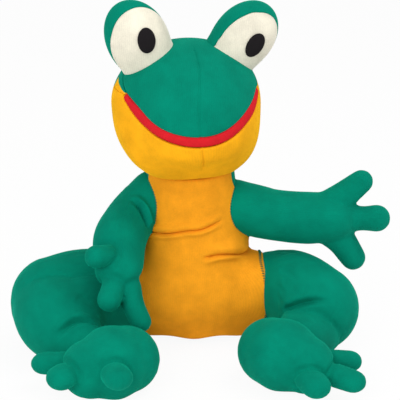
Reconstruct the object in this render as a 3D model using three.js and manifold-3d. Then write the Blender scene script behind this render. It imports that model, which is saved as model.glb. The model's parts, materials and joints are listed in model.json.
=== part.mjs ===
// Frog hand puppet, sitting: a lined plush sleeve for the hand, a head with a mouth that opens,
// stuffed arms and stuffed folded legs. Millimetres, +Z up, the frog looks along -Y.
// "left" and "right" are the frog's own sides, so its left is +X.
// The origin ends up under the middle of the puppet's bounding box, on the surface that it sits on.
import * as THREE from "three";
import { mergeVertices } from "three/addons/utils/BufferGeometryUtils.js";
import Module from "manifold-3d";

const wasm = await Module();
wasm.setup();

// Fabric and fits
const SEAM_GAP = 0.3; // kept between pieces that meet at a seam
const FILLING_GAP = 0.6; // kept between a stuffed skin and its filling
const PLUSH = 2; // plush skin of limbs and eyes
const PADDED_WALL = 4; // fleece-backed plush of head and torso
const LINING = 1.5; // lining cloth, hem tape and finger pockets
const BOARD = 2; // stiff card behind each half of the mouth

// Torso, a sleeve with an oval section. Half sizes at four heights, and at the neck
const HEM_HALF_WIDTH = 64;
const HEM_HALF_DEPTH = 42;
const BELLY_HALF_WIDTH = 82;
const BELLY_HALF_DEPTH = 63;
const BELLY_HEIGHT = 42;
const WAIST_HALF_WIDTH = 58;
const WAIST_HALF_DEPTH = 57;
const WAIST_HEIGHT = 86;
const CHEST_HALF_WIDTH = 48;
const CHEST_HALF_DEPTH = 46;
const CHEST_HEIGHT = 130;
const NECK_RADIUS = 43;
const NECK_HEIGHT = 176;
const TORSO_BACK_SET = 4; // the torso's axis lies this far in front of y = 0 at the hem
const SIDE_SEAM_Y = 4; // yellow front and green back are sewn together here
const HEM_TAPE_UP = 1; // the tape is sewn this far above the hem
const HEM_TAPE_HEIGHT = 12;

// Head, a ball with a muzzle
const HEAD_RADIUS = 72.5;
const HEAD_FORWARD = 12; // the head's centre lies this far in front of y = 0
const HEAD_LEAN = -5; // and this far to the side
const HEAD_YAW = 12; // degrees, turned towards the frog's left
const MUZZLE_REACH = 20;
const MUZZLE_DROP = 6; // degrees below the horizon
const MUZZLE_SHARPNESS = 6; // power of the cosine that shapes it
const THROAT_LOW = -0.75; // below this share of the radius the head is a plain ball, for the neck
const THROAT_HIGH = -0.35; // and above this one the muzzle has its full reach
const CROWN_FLATTENING = 11;
const NECK_HOLE_RADIUS = 33; // the hand's way into the head
const NECK_BAND = 3;
const NECK_BAND_CLEARANCE = 0.5; // lets the head turn in it

// Mouth. It folds on a line through its corners and slopes down towards the lip
const MOUTH_FOLD_FORWARD = 30;
const MOUTH_FOLD_UP = 17;
const MOUTH_SLOPE = 25; // degrees
const MOUTH_OPEN = 28; // degrees that the upper head lifts
const LIP_HEIGHT = 9;
const PALATE_LINING = 3;
const PALATE_INSET = 7; // the palate hides behind the muzzle's rim
const FOLD_TAPE_RADIUS = 1.4;

// Pockets for the fingers, above the mouth, and for the thumb, below it
const FINGER_POCKET = { width: 76, height: 26, depth: 34 };
const THUMB_POCKET = { width: 36, height: 24, depth: 30 };
const POCKET_BACK = 8; // both reach this far behind the fold
const PADDING_FORWARD = 22; // the padding ends here and leaves the rear of the head to the hand

// Eyes, egg-shaped lobes with a white front, sewn to the crown
const EYE_HALF = { x: 29.5, y: 27, z: 38.5 };
const EYE_SPACING = 104;
const EYE_UP = 65;
const EYE_FORWARD = 4;
const PUPIL_HALF = { x: 8.5, z: 12 };
const PUPIL_THICKNESS = 1.5;

// Limbs. Joints are given from the torso's seams, and path points from the joint
const SHOULDER_DROP = { left: 49, right: 40 }; // below the edge of the neck
const SHOULDER_FORWARD = 16;
const SHOULDER_RADIUS = { left: 25, right: 18 };
const ARMHOLE_RADIUS = 16;
const HIP_HEIGHT = 50;
const HIP_FORWARD = 22;
const HIP_RADIUS = 37;
const HIP_SEAM_X = 86;
const HIP_DOME_X = 62; // the hip is round from here to the seam
const KNEE_RADIUS = { left: 42, right: 43 };
const FOOT_RADIUS = 33;
const KNEE_CLEARANCE = 0.6; // lets the shin swing round the knee
const ARM_LENGTH = 120; // from the shoulder to the fingertips
const ARM_RADIUS = 26;
const LEG_LENGTH = 200; // hip to knee to toes, one share for all its paths

// Faces round a section and from end to end
const LIMB_SIDES = 12;
const DIGIT_SIDES = 8;
const TORSO_SIDES = 24;
const TORSO_RINGS = 7;
const HEAD_SIDES = 24;
const HEAD_RINGS = 14;
const LOBE_SIDES = 16;
const LOBE_RINGS = 10;

const FAR = 400; // reach of the blocks that cut a piece in two

// Poses of the limbs. A run is a path of [x, y, z, radius] from its joint, in shares of the limb's
// length and of its radius
const ARMS = {
  left: {
    arm: [
      [0, 0, 0, SHOULDER_RADIUS.left / ARM_RADIUS],
      [0.267, 0.008, -0.033, 0.981],
      [0.55, -0.017, -0.033, 1.038],
    ],
    fingers: [
      [[0.583, -0.017, 0.017, 0.538], [0.683, -0.017, 0.167, 0.423], [0.742, -0.017, 0.258, 0.423]],
      [[0.6, -0.017, -0.033, 0.654], [0.767, -0.017, -0.042, 0.481], [0.892, -0.017, -0.042, 0.5]],
      [[0.583, -0.017, -0.083, 0.538], [0.658, -0.025, -0.267, 0.442], [0.7, -0.033, -0.375, 0.442]],
    ],
  },
  right: {
    arm: [
      [0, 0, 0, SHOULDER_RADIUS.right / ARM_RADIUS],
      [-0.008, -0.283, -0.117, 1],
      [-0.025, -0.55, -0.35, 0.885],
    ],
    fingers: [
      [[-0.05, -0.55, -0.3, 0.5], [-0.108, -0.667, -0.275, 0.462], [-0.175, -0.75, -0.275, 0.5]],
      [[-0.033, -0.6, -0.383, 0.538], [-0.05, -0.717, -0.433, 0.481], [-0.058, -0.8, -0.483, 0.519]],
      [[0.033, -0.6, -0.433, 0.615], [0.125, -0.683, -0.583, 0.481], [0.192, -0.725, -0.717, 0.462]],
    ],
  },
};
const LEGS = {
  left: {
    thigh: [
      [0, 0, 0, HIP_RADIUS / FOOT_RADIUS],
      [0.08, -0.09, 0.01, 1.152],
      [0.16, -0.19, -0.035, KNEE_RADIUS.left / FOOT_RADIUS],
    ],
    shin: [[0, 0, -0.03, 0.848], [-0.05, -0.16, -0.065, 0.848], [-0.11, -0.29, -0.06, 0.788]],
    foot: [[-0.25, -0.34, -0.05, 0.939], [-0.17, -0.43, -0.045, 1], [-0.08, -0.52, -0.065, 0.818]],
    toes: [
      [[-0.05, -0.44, -0.08, 0.424], [0.09, -0.38, -0.095, 0.364]],
      [[-0.05, -0.52, -0.085, 0.455], [0.1, -0.58, -0.1, 0.409]],
      [[-0.1, -0.54, -0.08, 0.485], [-0.06, -0.66, -0.1, 0.424]],
    ],
  },
  right: {
    thigh: [
      [0, 0, 0, HIP_RADIUS / FOOT_RADIUS],
      [-0.125, -0.05, 0.02, 1.152],
      [-0.265, -0.1, -0.035, KNEE_RADIUS.right / FOOT_RADIUS],
    ],
    shin: [[0, 0, -0.04, 0.848], [0.1, -0.25, -0.07, 0.848], [0.21, -0.43, -0.065, 0.788]],
    foot: [[0.39, -0.54, -0.05, 0.939], [0.3, -0.61, -0.045, 1], [0.21, -0.665, -0.07, 0.818]],
    toes: [
      [[0.14, -0.6, -0.085, 0.424], [0.01, -0.54, -0.105, 0.379]],
      [[0.18, -0.67, -0.08, 0.455], [0.11, -0.715, -0.095, 0.439]],
      [[0.28, -0.67, -0.07, 0.515], [0.34, -0.76, -0.065, 0.47]],
    ],
  },
};

const SIDES = { left: 1, right: -1 };
const rad = THREE.MathUtils.degToRad;

// Materials, velour plush unless named otherwise
const plush = (color) => new THREE.MeshStandardMaterial({ color, roughness: 0.95, metalness: 0 });
const GREEN = plush(0x00876c);
const YELLOW = plush(0xf2a51e);
const RED = plush(0xe0202c);
const WHITE = plush(0xeae4d6);
const BLACK = plush(0x201d20);
const FILLING = plush(0xf4f2ec);
const CARD = plush(0xb59a74);
const LINING_CLOTH = plush(0x1f6a58);

// A three.js geometry as a solid, with its shared points merged
function solid(geometry) {
  geometry.deleteAttribute("normal");
  geometry.deleteAttribute("uv");
  const merged = mergeVertices(geometry, 1e-4);
  return new wasm.Manifold(
    new wasm.Mesh({
      numProp: 3,
      vertProperties: new Float32Array(merged.attributes.position.array),
      triVerts: new Uint32Array(merged.index.array),
    }),
  );
}

// A solid back as a three.js geometry
function geometryOf(body) {
  const mesh = body.getMesh();
  const geometry = new THREE.BufferGeometry();
  geometry.setAttribute("position", new THREE.BufferAttribute(mesh.vertProperties, 3));
  geometry.setIndex(new THREE.BufferAttribute(mesh.triVerts, 1));
  geometry.computeVertexNormals();
  return geometry;
}

// A closed skin over rings of points, all with the same count, with a fan over each end
function loft(rings) {
  const count = rings[0].length;
  const middle = (ring) => ring.reduce((sum, p) => sum.add(p), new THREE.Vector3()).divideScalar(count);
  const points = [...rings.flat(), middle(rings[0]), middle(rings.at(-1))];
  const first = rings.length * count;
  const faces = [];
  for (let side = 0; side < count; side++) {
    const next = (side + 1) % count;
    for (let ring = 0; ring + 1 < rings.length; ring++) {
      const low = ring * count;
      const high = low + count;
      faces.push(low + side, low + next, high + next, low + side, high + next, high + side);
    }
    const top = first - count;
    faces.push(first, next, side, first + 1, top + side, top + next);
  }
  const geometry = new THREE.BufferGeometry().setFromPoints(points);
  geometry.setIndex(faces);
  return solid(geometry);
}

// A stuffed tube along a smooth path of [x, y, z, radius], with round ends.
// A share of the sides makes a coarser tube that lies inside the full one
function stuffedTube(path, sides, origin, grow, share = 1) {
  const spots = path.map(([x, y, z]) => new THREE.Vector3(x, y, z).add(origin));
  const curve = new THREE.CatmullRomCurve3(spots);
  const radii = new THREE.SplineCurve(path.map((p, i) => new THREE.Vector2(i, p[3])));
  const limb = sides > DIGIT_SIDES;
  const steps = limb ? 2 * (path.length - 1) : path.length;
  const frames = curve.computeFrenetFrames(steps, false);
  const ring = (step, lean) => {
    const t = step / steps;
    const radius = radii.getPoint(t).y + grow;
    const centre = curve.getPointAt(t).addScaledVector(frames.tangents[step], radius * Math.sin(lean));
    return Array.from({ length: share * sides }, (_, i) => {
      const turn = (2 * Math.PI * i) / (share * sides);
      return centre
        .clone()
        .addScaledVector(frames.normals[step], radius * Math.cos(lean) * Math.cos(turn))
        .addScaledVector(frames.binormals[step], radius * Math.cos(lean) * Math.sin(turn));
    });
  };
  const startLeans = limb ? [-72, -52, -26] : [-72];
  const endLeans = limb ? [26, 52, 72] : [36, 72];
  const rings = startLeans.map((lean) => ring(0, rad(lean)));
  for (let step = 0; step <= steps; step++) rings.push(ring(step, 0));
  rings.push(...endLeans.map((lean) => ring(steps, rad(lean))));
  return loft(rings);
}

// A path given in shares, at its real size
const sized = (path, length, radius) =>
  path.map(([x, y, z, r]) => [x * length, y * length, z * length, r * radius]);

const join = (bodies) => bodies.reduce((sum, body) => sum.add(body));

// A ball whose flat faces, and not its corners, lie at the radius, for cutting round seats
function seatBall(radius, at) {
  const corner = radius / (Math.cos(Math.PI / HEAD_SIDES) * Math.cos(Math.PI / (2 * HEAD_RINGS)));
  const sphere = new THREE.SphereGeometry(corner, HEAD_SIDES, HEAD_RINGS).rotateX(Math.PI / 2);
  return solid(sphere.translate(at.x, at.y, at.z));
}

// A block between two corners, in the frame of a matrix
function block(low, high, matrix = new THREE.Matrix4()) {
  const geometry = new THREE.BoxGeometry(high[0] - low[0], high[1] - low[1], high[2] - low[2]);
  geometry.translate((high[0] + low[0]) / 2, (high[1] + low[1]) / 2, (high[2] + low[2]) / 2);
  return solid(geometry.applyMatrix4(matrix));
}

// The half of space on the side that a direction points to
function halfSpace(point, direction) {
  const turn = new THREE.Quaternion().setFromUnitVectors(new THREE.Vector3(0, 0, 1), direction);
  const matrix = new THREE.Matrix4().compose(point, turn, new THREE.Vector3(1, 1, 1));
  return block([-FAR, -FAR, 0], [FAR, FAR, FAR], matrix);
}

// The puppet and the groups that turn at its joints
const puppet = new THREE.Group();

function joint(parent, name, at) {
  const group = new THREE.Group();
  group.name = name;
  group.userData.at = at;
  group.position.copy(at).sub(parent.userData.at ?? new THREE.Vector3());
  parent.add(group);
  return group;
}

function piece(group, name, body, material) {
  const geometry = geometryOf(body);
  const at = group.userData.at ?? new THREE.Vector3();
  const mesh = new THREE.Mesh(geometry.translate(-at.x, -at.y, -at.z), material);
  mesh.name = name;
  group.add(mesh);
}

// Torso

const headCentre = new THREE.Vector3(HEAD_LEAN, -HEAD_FORWARD, 0);
const neckSeat = HEAD_RADIUS + NECK_BAND_CLEARANCE + NECK_BAND + SEAM_GAP;
headCentre.z = NECK_HEIGHT + Math.sqrt(neckSeat ** 2 - NECK_RADIUS ** 2);

const torsoProfile = new THREE.CatmullRomCurve3([
  new THREE.Vector3(HEM_HALF_WIDTH, HEM_HALF_DEPTH, 0),
  new THREE.Vector3(BELLY_HALF_WIDTH, BELLY_HALF_DEPTH, BELLY_HEIGHT),
  new THREE.Vector3(WAIST_HALF_WIDTH, WAIST_HALF_DEPTH, WAIST_HEIGHT),
  new THREE.Vector3(CHEST_HALF_WIDTH, CHEST_HALF_DEPTH, CHEST_HEIGHT),
  new THREE.Vector3(NECK_RADIUS, NECK_RADIUS, NECK_HEIGHT),
]);

// The torso's axis leans from the hem to the head
const torsoAxis = (height) =>
  new THREE.Vector3(0, -TORSO_BACK_SET, 0).lerp(headCentre, height / NECK_HEIGHT).setZ(height);

// Half width of the torso at a height, read off its profile
function torsoHalfWidth(height) {
  let low = 0;
  let high = 1;
  while (high - low > 1e-6) {
    const middle = (low + high) / 2;
    if (torsoProfile.getPoint(middle).z < height) low = middle;
    else high = middle;
  }
  return torsoProfile.getPoint(low).x;
}

// The torso's oval loft, grown all round, with its ends lengthened by an overrun
function torsoLoft(grow, overrun) {
  const oval = (section, height) =>
    Array.from({ length: TORSO_SIDES }, (_, i) => {
      const turn = (2 * Math.PI * i) / TORSO_SIDES;
      const across = Math.cos(turn) * (section.x + grow);
      const along = Math.sin(turn) * (section.y + grow);
      const spot = new THREE.Vector3(across, along, 0);
      return spot.add(torsoAxis(section.z)).setZ(height);
    });
  const sections = torsoProfile.getPoints(TORSO_RINGS);
  const rings = sections.map((section) => oval(section, section.z));
  if (overrun > 0) {
    rings.unshift(oval(sections[0], -overrun));
    rings.push(oval(sections.at(-1), NECK_HEIGHT + overrun));
  }
  return loft(rings);
}

const hipAt = (side) => new THREE.Vector3(SIDES[side] * HIP_SEAM_X, -HIP_FORWARD, HIP_HEIGHT);

// Round hip that carries the leg's seam on a flat end
function hipForm(side, grow) {
  const dome = stuffedTube(
    [[0, 0, 0, HIP_RADIUS], [SIDES[side] * HIP_DOME_X, 0, 0, HIP_RADIUS]],
    LIMB_SIDES,
    new THREE.Vector3(0, -HIP_FORWARD, HIP_HEIGHT),
    grow,
  );
  const seam = new THREE.Vector3(SIDES[side] * (HIP_SEAM_X + grow), 0, 0);
  return dome.subtract(halfSpace(seam, new THREE.Vector3(SIDES[side], 0, 0)));
}

const headSeat = seatBall(neckSeat, headCentre);
const torsoForm = (grow, overrun) =>
  join([torsoLoft(grow, overrun), hipForm("left", grow), hipForm("right", grow)]);
const torsoShell = torsoForm(0, 0).subtract(torsoForm(-PADDED_WALL, 1)).subtract(headSeat);
piece(puppet, "belly_panel", torsoShell.subtract(block([-FAR, SIDE_SEAM_Y, -FAR], [FAR, FAR, FAR])), YELLOW);
const backHalf = block([-FAR, SIDE_SEAM_Y + SEAM_GAP, -FAR], [FAR, FAR, FAR]);
piece(puppet, "back_panel", torsoShell.intersect(backHalf), GREEN);

const liningTube = torsoLoft(-PADDED_WALL - SEAM_GAP, 0)
  .subtract(torsoLoft(-PADDED_WALL - SEAM_GAP - LINING, 1))
  .subtract(headSeat);
const hemTapeTop = HEM_TAPE_UP + HEM_TAPE_HEIGHT;
const hemZone = block([-FAR, -FAR, HEM_TAPE_UP], [FAR, FAR, hemTapeTop]);
const liningZone = block([-FAR, -FAR, hemTapeTop + SEAM_GAP], [FAR, FAR, FAR]);
piece(puppet, "hem_tape", liningTube.intersect(hemZone), GREEN);
piece(puppet, "sleeve_lining", liningTube.intersect(liningZone), LINING_CLOTH);

// Head, in a frame at its centre, before it is yawed

// How far the head's skin lies from its centre in a direction
function headReach(direction) {
  const muzzle = new THREE.Vector3(0, -Math.cos(rad(MUZZLE_DROP)), -Math.sin(rad(MUZZLE_DROP)));
  const towardsMuzzle = Math.max(0, direction.dot(muzzle));
  const towardsTop = Math.max(0, direction.z);
  const aboveNeck = THREE.MathUtils.smoothstep(direction.z, THROAT_LOW, THROAT_HIGH);
  const muzzleReach = MUZZLE_REACH * aboveNeck * towardsMuzzle ** MUZZLE_SHARPNESS;
  return HEAD_RADIUS + muzzleReach - CROWN_FLATTENING * towardsTop ** 2;
}

function headForm(grow) {
  const sphere = new THREE.SphereGeometry(1, HEAD_SIDES, HEAD_RINGS).rotateX(Math.PI / 2);
  const spots = sphere.attributes.position;
  const spot = new THREE.Vector3();
  for (let i = 0; i < spots.count; i++) {
    spot.fromBufferAttribute(spots, i).normalize();
    spot.multiplyScalar(headReach(spot) + grow);
    spots.setXYZ(i, spot.x, spot.y, spot.z);
  }
  return solid(sphere);
}

const foldLine = new THREE.Vector3(0, -MOUTH_FOLD_FORWARD, MOUTH_FOLD_UP);
const tilted = (angle) =>
  new THREE.Matrix4().makeRotationX(rad(angle)).setPosition(foldLine);
const mouthFrame = tilted(MOUTH_SLOPE); // -Y runs along the palate to the lip, +Z is up from it
const napeFrame = tilted(MOUTH_OPEN); // +Y runs up the back of the head

// A slab of the mouth between two heights over the fold, from the fold to the lip
const mouthSlab = (low, high, fold = 0) => block([-FAR, -FAR, low], [FAR, -fold, high], mouthFrame);

const headShell = headForm(0).subtract(headForm(-PADDED_WALL));
const insideHead = headForm(-PADDED_WALL - FILLING_GAP);
const frontAboveLip = mouthSlab(-LIP_HEIGHT - SEAM_GAP, FAR);
const aboveFold = block([-FAR, -FAR, MOUTH_FOLD_UP], [FAR, FAR, FAR]);
const neckHole = solid(
  new THREE.CylinderGeometry(NECK_HOLE_RADIUS, NECK_HOLE_RADIUS, HEAD_RADIUS, 24)
    .rotateX(Math.PI / 2)
    .translate(0, 0, -HEAD_RADIUS),
);

const neckTurn = joint(puppet, "neck_turn", headCentre);
neckTurn.rotation.z = rad(HEAD_YAW);
const neckNod = joint(neckTurn, "neck_nod", headCentre);
const foldAt = headCentre.clone().add(foldLine);
const mouthFold = joint(neckNod, "mouth_fold", foldAt);

// Head pieces are given in the head's own frame
const headPiece = (group, name, body, material) =>
  piece(group, name, body.translate([headCentre.x, headCentre.y, headCentre.z]), material);

// The neck's gusset, a band of a ball round the head's centre
function neckBand() {
  const inner = HEAD_RADIUS + NECK_BAND_CLEARANCE;
  const lowest = Math.asin((NECK_HOLE_RADIUS + 1) / inner);
  const highest = Math.asin(NECK_RADIUS / neckSeat);
  const arc = (radius, from, to) =>
    [0, 0.5, 1].map((share) => {
      const angle = THREE.MathUtils.lerp(from, to, share);
      return new THREE.Vector2(radius * Math.sin(angle), -radius * Math.cos(angle));
    });
  const outline = [...arc(inner + NECK_BAND, lowest, highest), ...arc(inner, highest, lowest)];
  return solid(new THREE.LatheGeometry([...outline, outline[0]], 2 * HEAD_SIDES).rotateX(Math.PI / 2));
}
headPiece(neckTurn, "neck_band", neckBand(), GREEN);

const chin = headShell.subtract(frontAboveLip).subtract(aboveFold).subtract(neckHole);
headPiece(neckNod, "chin_cover", chin, YELLOW);

const foldGap = FOLD_TAPE_RADIUS + SEAM_GAP;
const lip = headForm(0).intersect(mouthSlab(-LIP_HEIGHT, -SEAM_GAP / 2, foldGap));
headPiece(neckNod, "lower_mouth_lining", lip, RED);

const lowerBoardTop = -LIP_HEIGHT - SEAM_GAP;
const palateForm = headForm(-PADDED_WALL - PALATE_INSET);
const lowerBoard = palateForm.intersect(mouthSlab(lowerBoardTop - BOARD, lowerBoardTop, foldGap));
headPiece(neckNod, "lower_mouth_board", lowerBoard, CARD);

const foldTape = new THREE.CylinderGeometry(FOLD_TAPE_RADIUS, FOLD_TAPE_RADIUS, 2 * HEAD_RADIUS, 8)
  .rotateZ(Math.PI / 2)
  .translate(0, foldLine.y, foldLine.z);
headPiece(neckNod, "mouth_fold_tape", solid(foldTape).intersect(palateForm), RED);
const foldRoom = new THREE.CylinderGeometry(foldGap, foldGap, 2 * HEAD_RADIUS, 8)
  .rotateZ(Math.PI / 2)
  .translate(0, foldLine.y, foldLine.z);

// A flat pocket with a round-cornered section and an open back end, in the mouth's frame
function pocket(size, floor, grow, back) {
  const high = size.height / 2 + grow;
  const wide = size.width / 2 + grow - high;
  const section = new THREE.Shape();
  section.moveTo(-wide, -high);
  section.lineTo(wide, -high);
  section.absarc(wide, 0, high, -Math.PI / 2, Math.PI / 2);
  section.lineTo(-wide, high);
  section.absarc(-wide, 0, high, Math.PI / 2, Math.PI * 1.5);
  const tube = new THREE.ExtrudeGeometry(section, {
    depth: size.depth + grow + back,
    bevelEnabled: false,
    curveSegments: 4,
  });
  tube.rotateX(Math.PI / 2).translate(0, back, floor + size.height / 2);
  const room = headForm(grow - LINING - PADDED_WALL - 2 * SEAM_GAP);
  return solid(tube.applyMatrix4(mouthFrame)).intersect(room);
}

const upperStack = SEAM_GAP / 2 + PALATE_LINING + SEAM_GAP + BOARD + SEAM_GAP;
const lowerStack = LIP_HEIGHT + SEAM_GAP + BOARD + SEAM_GAP;
const fingerFloor = upperStack + LINING;
const thumbFloor = -lowerStack - LINING - THUMB_POCKET.height;

const paddingZone = block([-FAR, -FAR, -FAR], [FAR, -PADDING_FORWARD, FAR]);
const thumbSkin = pocket(THUMB_POCKET, thumbFloor, LINING, POCKET_BACK);
const thumbRoom = pocket(THUMB_POCKET, thumbFloor, 0, POCKET_BACK + 1);
headPiece(neckNod, "thumb_pocket", thumbSkin.subtract(thumbRoom), LINING_CLOTH);
const chinPadding = insideHead
  .intersect(paddingZone)
  .subtract(mouthSlab(-lowerStack, FAR))
  .subtract(aboveFold)
  .subtract(pocket(THUMB_POCKET, thumbFloor, LINING + SEAM_GAP, FAR / 4))
  .subtract(solid(foldRoom))
  .subtract(neckHole);
headPiece(neckNod, "chin_padding", chinPadding, FILLING);

// Upper head
const belowMuzzle = block([-FAR, -FAR, -FAR], [FAR, FAR, SEAM_GAP / 2], mouthFrame);
const rearBelowCrown = block([-FAR, 0, -FAR], [FAR, FAR, SEAM_GAP], napeFrame);
const crown = headShell.subtract(belowMuzzle).subtract(rearBelowCrown);
headPiece(mouthFold, "crown_cover", crown, GREEN);

// Soft back of the head, between jaw and crown. It crumples as the mouth opens
const napeZone = block([-FAR, -MOUTH_FOLD_FORWARD, MOUTH_FOLD_UP + SEAM_GAP], [FAR, FAR, FAR]);
const belowCrown = block([-FAR, 0, -FAR], [FAR, FAR, 0], napeFrame);
headPiece(neckNod, "nape_panel", headShell.intersect(napeZone).intersect(belowCrown), GREEN);

const palateLow = SEAM_GAP / 2;
const palateHigh = palateLow + PALATE_LINING;
const palate = palateForm.intersect(mouthSlab(palateLow, palateHigh, foldGap));
headPiece(mouthFold, "upper_mouth_lining", palate, RED);
const upperBoardLow = palateHigh + SEAM_GAP;
const upperBoard = palateForm.intersect(mouthSlab(upperBoardLow, upperBoardLow + BOARD, foldGap));
headPiece(mouthFold, "upper_mouth_board", upperBoard, CARD);

const fingerSkin = pocket(FINGER_POCKET, fingerFloor, LINING, POCKET_BACK);
const fingerRoom = pocket(FINGER_POCKET, fingerFloor, 0, POCKET_BACK + 1);
headPiece(mouthFold, "finger_pocket", fingerSkin.subtract(fingerRoom), LINING_CLOTH);
const crownPadding = insideHead
  .intersect(paddingZone)
  .subtract(block([-FAR, -FAR, -FAR], [FAR, FAR, upperStack], mouthFrame))
  .subtract(rearBelowCrown)
  .subtract(pocket(FINGER_POCKET, fingerFloor, LINING + SEAM_GAP, FAR / 4));
headPiece(mouthFold, "crown_padding", crownPadding, FILLING);

// Eyes. Each leans outwards and looks a little towards the frog's left. Its hood shows round the white: their seam lies
// in front of the lobe's middle by a share of the lobe's half depth
const EYES = {
  left: { lean: 40, raise: -3, hoodYaw: 3, hoodPitch: -8, hoodShare: 0.4, gazeYaw: 10, gazePitch: -4, pupilTilt: 28 },
  right: { lean: 28, raise: 2, hoodYaw: 10, hoodPitch: -1, hoodShare: 0.27, gazeYaw: 10, gazePitch: 8, pupilTilt: -6 },
};
const gaze = (yaw, pitch) => {
  const level = Math.cos(rad(pitch));
  return new THREE.Vector3(Math.sin(rad(yaw)) * level, -Math.cos(rad(yaw)) * level, Math.sin(rad(pitch)));
};

// What an eye is cut by: the crown that it is sewn to, and the jaw's rim behind it as the mouth opens
const openJaw = new THREE.Matrix4()
  .makeTranslation(foldLine)
  .multiply(new THREE.Matrix4().makeRotationX(rad(MOUTH_OPEN)))
  .multiply(new THREE.Matrix4().makeTranslation(foldLine.clone().negate()));
const jawForm = headForm(SEAM_GAP).subtract(aboveFold).transform(openJaw.toArray());
const eyeSeat = headForm(SEAM_GAP).add(jawForm);

for (const [side, sign] of Object.entries(SIDES)) {
  const { lean, raise, hoodYaw, hoodPitch, hoodShare, gazeYaw, gazePitch, pupilTilt } = EYES[side];
  const at = new THREE.Vector3((sign * EYE_SPACING) / 2, -EYE_FORWARD, EYE_UP + raise);
  const lobe = (grow, share) =>
    solid(
      new THREE.SphereGeometry(1, share * LOBE_SIDES, share * LOBE_RINGS)
        .scale(EYE_HALF.x + grow, EYE_HALF.z + grow, EYE_HALF.y + grow)
        .rotateX(Math.PI / 2)
        .rotateY(rad(sign * lean))
        .translate(at.x, at.y, at.z),
    );
  const skin = lobe(0, 1).subtract(lobe(-PLUSH, 0.5)).subtract(eyeSeat);
  const front = gaze(hoodYaw, hoodPitch);
  const hoodEdge = at.clone().addScaledVector(front, hoodShare * EYE_HALF.y);
  const seam = hoodEdge.clone().addScaledVector(front, SEAM_GAP);
  headPiece(mouthFold, `eye_hood_${side}`, skin.subtract(halfSpace(hoodEdge, front)), GREEN);
  headPiece(mouthFold, `eye_white_${side}`, skin.intersect(halfSpace(seam, front)), WHITE);
  headPiece(mouthFold, `eye_filling_${side}`, lobe(-PLUSH - FILLING_GAP, 0.5).subtract(eyeSeat), FILLING);
  const look = gaze(gazeYaw, gazePitch);
  const across = new THREE.Vector3(0, 0, 1).cross(look).normalize();
  const upward = look.clone().cross(across);
  const turn = new THREE.Matrix4().makeBasis(across, look.clone().negate(), upward);
  const pupilReach = 2 * EYE_HALF.y;
  const stamp = new THREE.CylinderGeometry(1, 1, pupilReach, 12)
    .scale(PUPIL_HALF.x, 1, PUPIL_HALF.z)
    .rotateY(rad(pupilTilt))
    .translate(0, -pupilReach / 2, 0)
    .applyMatrix4(turn)
    .translate(at.x, at.y, at.z);
  const pupil = lobe(SEAM_GAP + PUPIL_THICKNESS, 1).subtract(lobe(SEAM_GAP, 1)).intersect(solid(stamp));
  headPiece(mouthFold, `pupil_${side}`, pupil, BLACK);
}

// Limbs. A skin is open where it is sewn on, and the filling shows there

// Inside faces are half as many, so that each layer lies within the one round it
const limbPieces = (group, name, form, cut) => {
  const skin = cut(form(0, 1).subtract(form(-PLUSH, 0.5)));
  piece(group, `${name}_skin`, skin, GREEN);
  piece(group, `${name}_filling`, cut(form(-PLUSH - FILLING_GAP, 0.5)), FILLING);
};

const torsoGrown = torsoForm(SEAM_GAP, 0);

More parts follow.
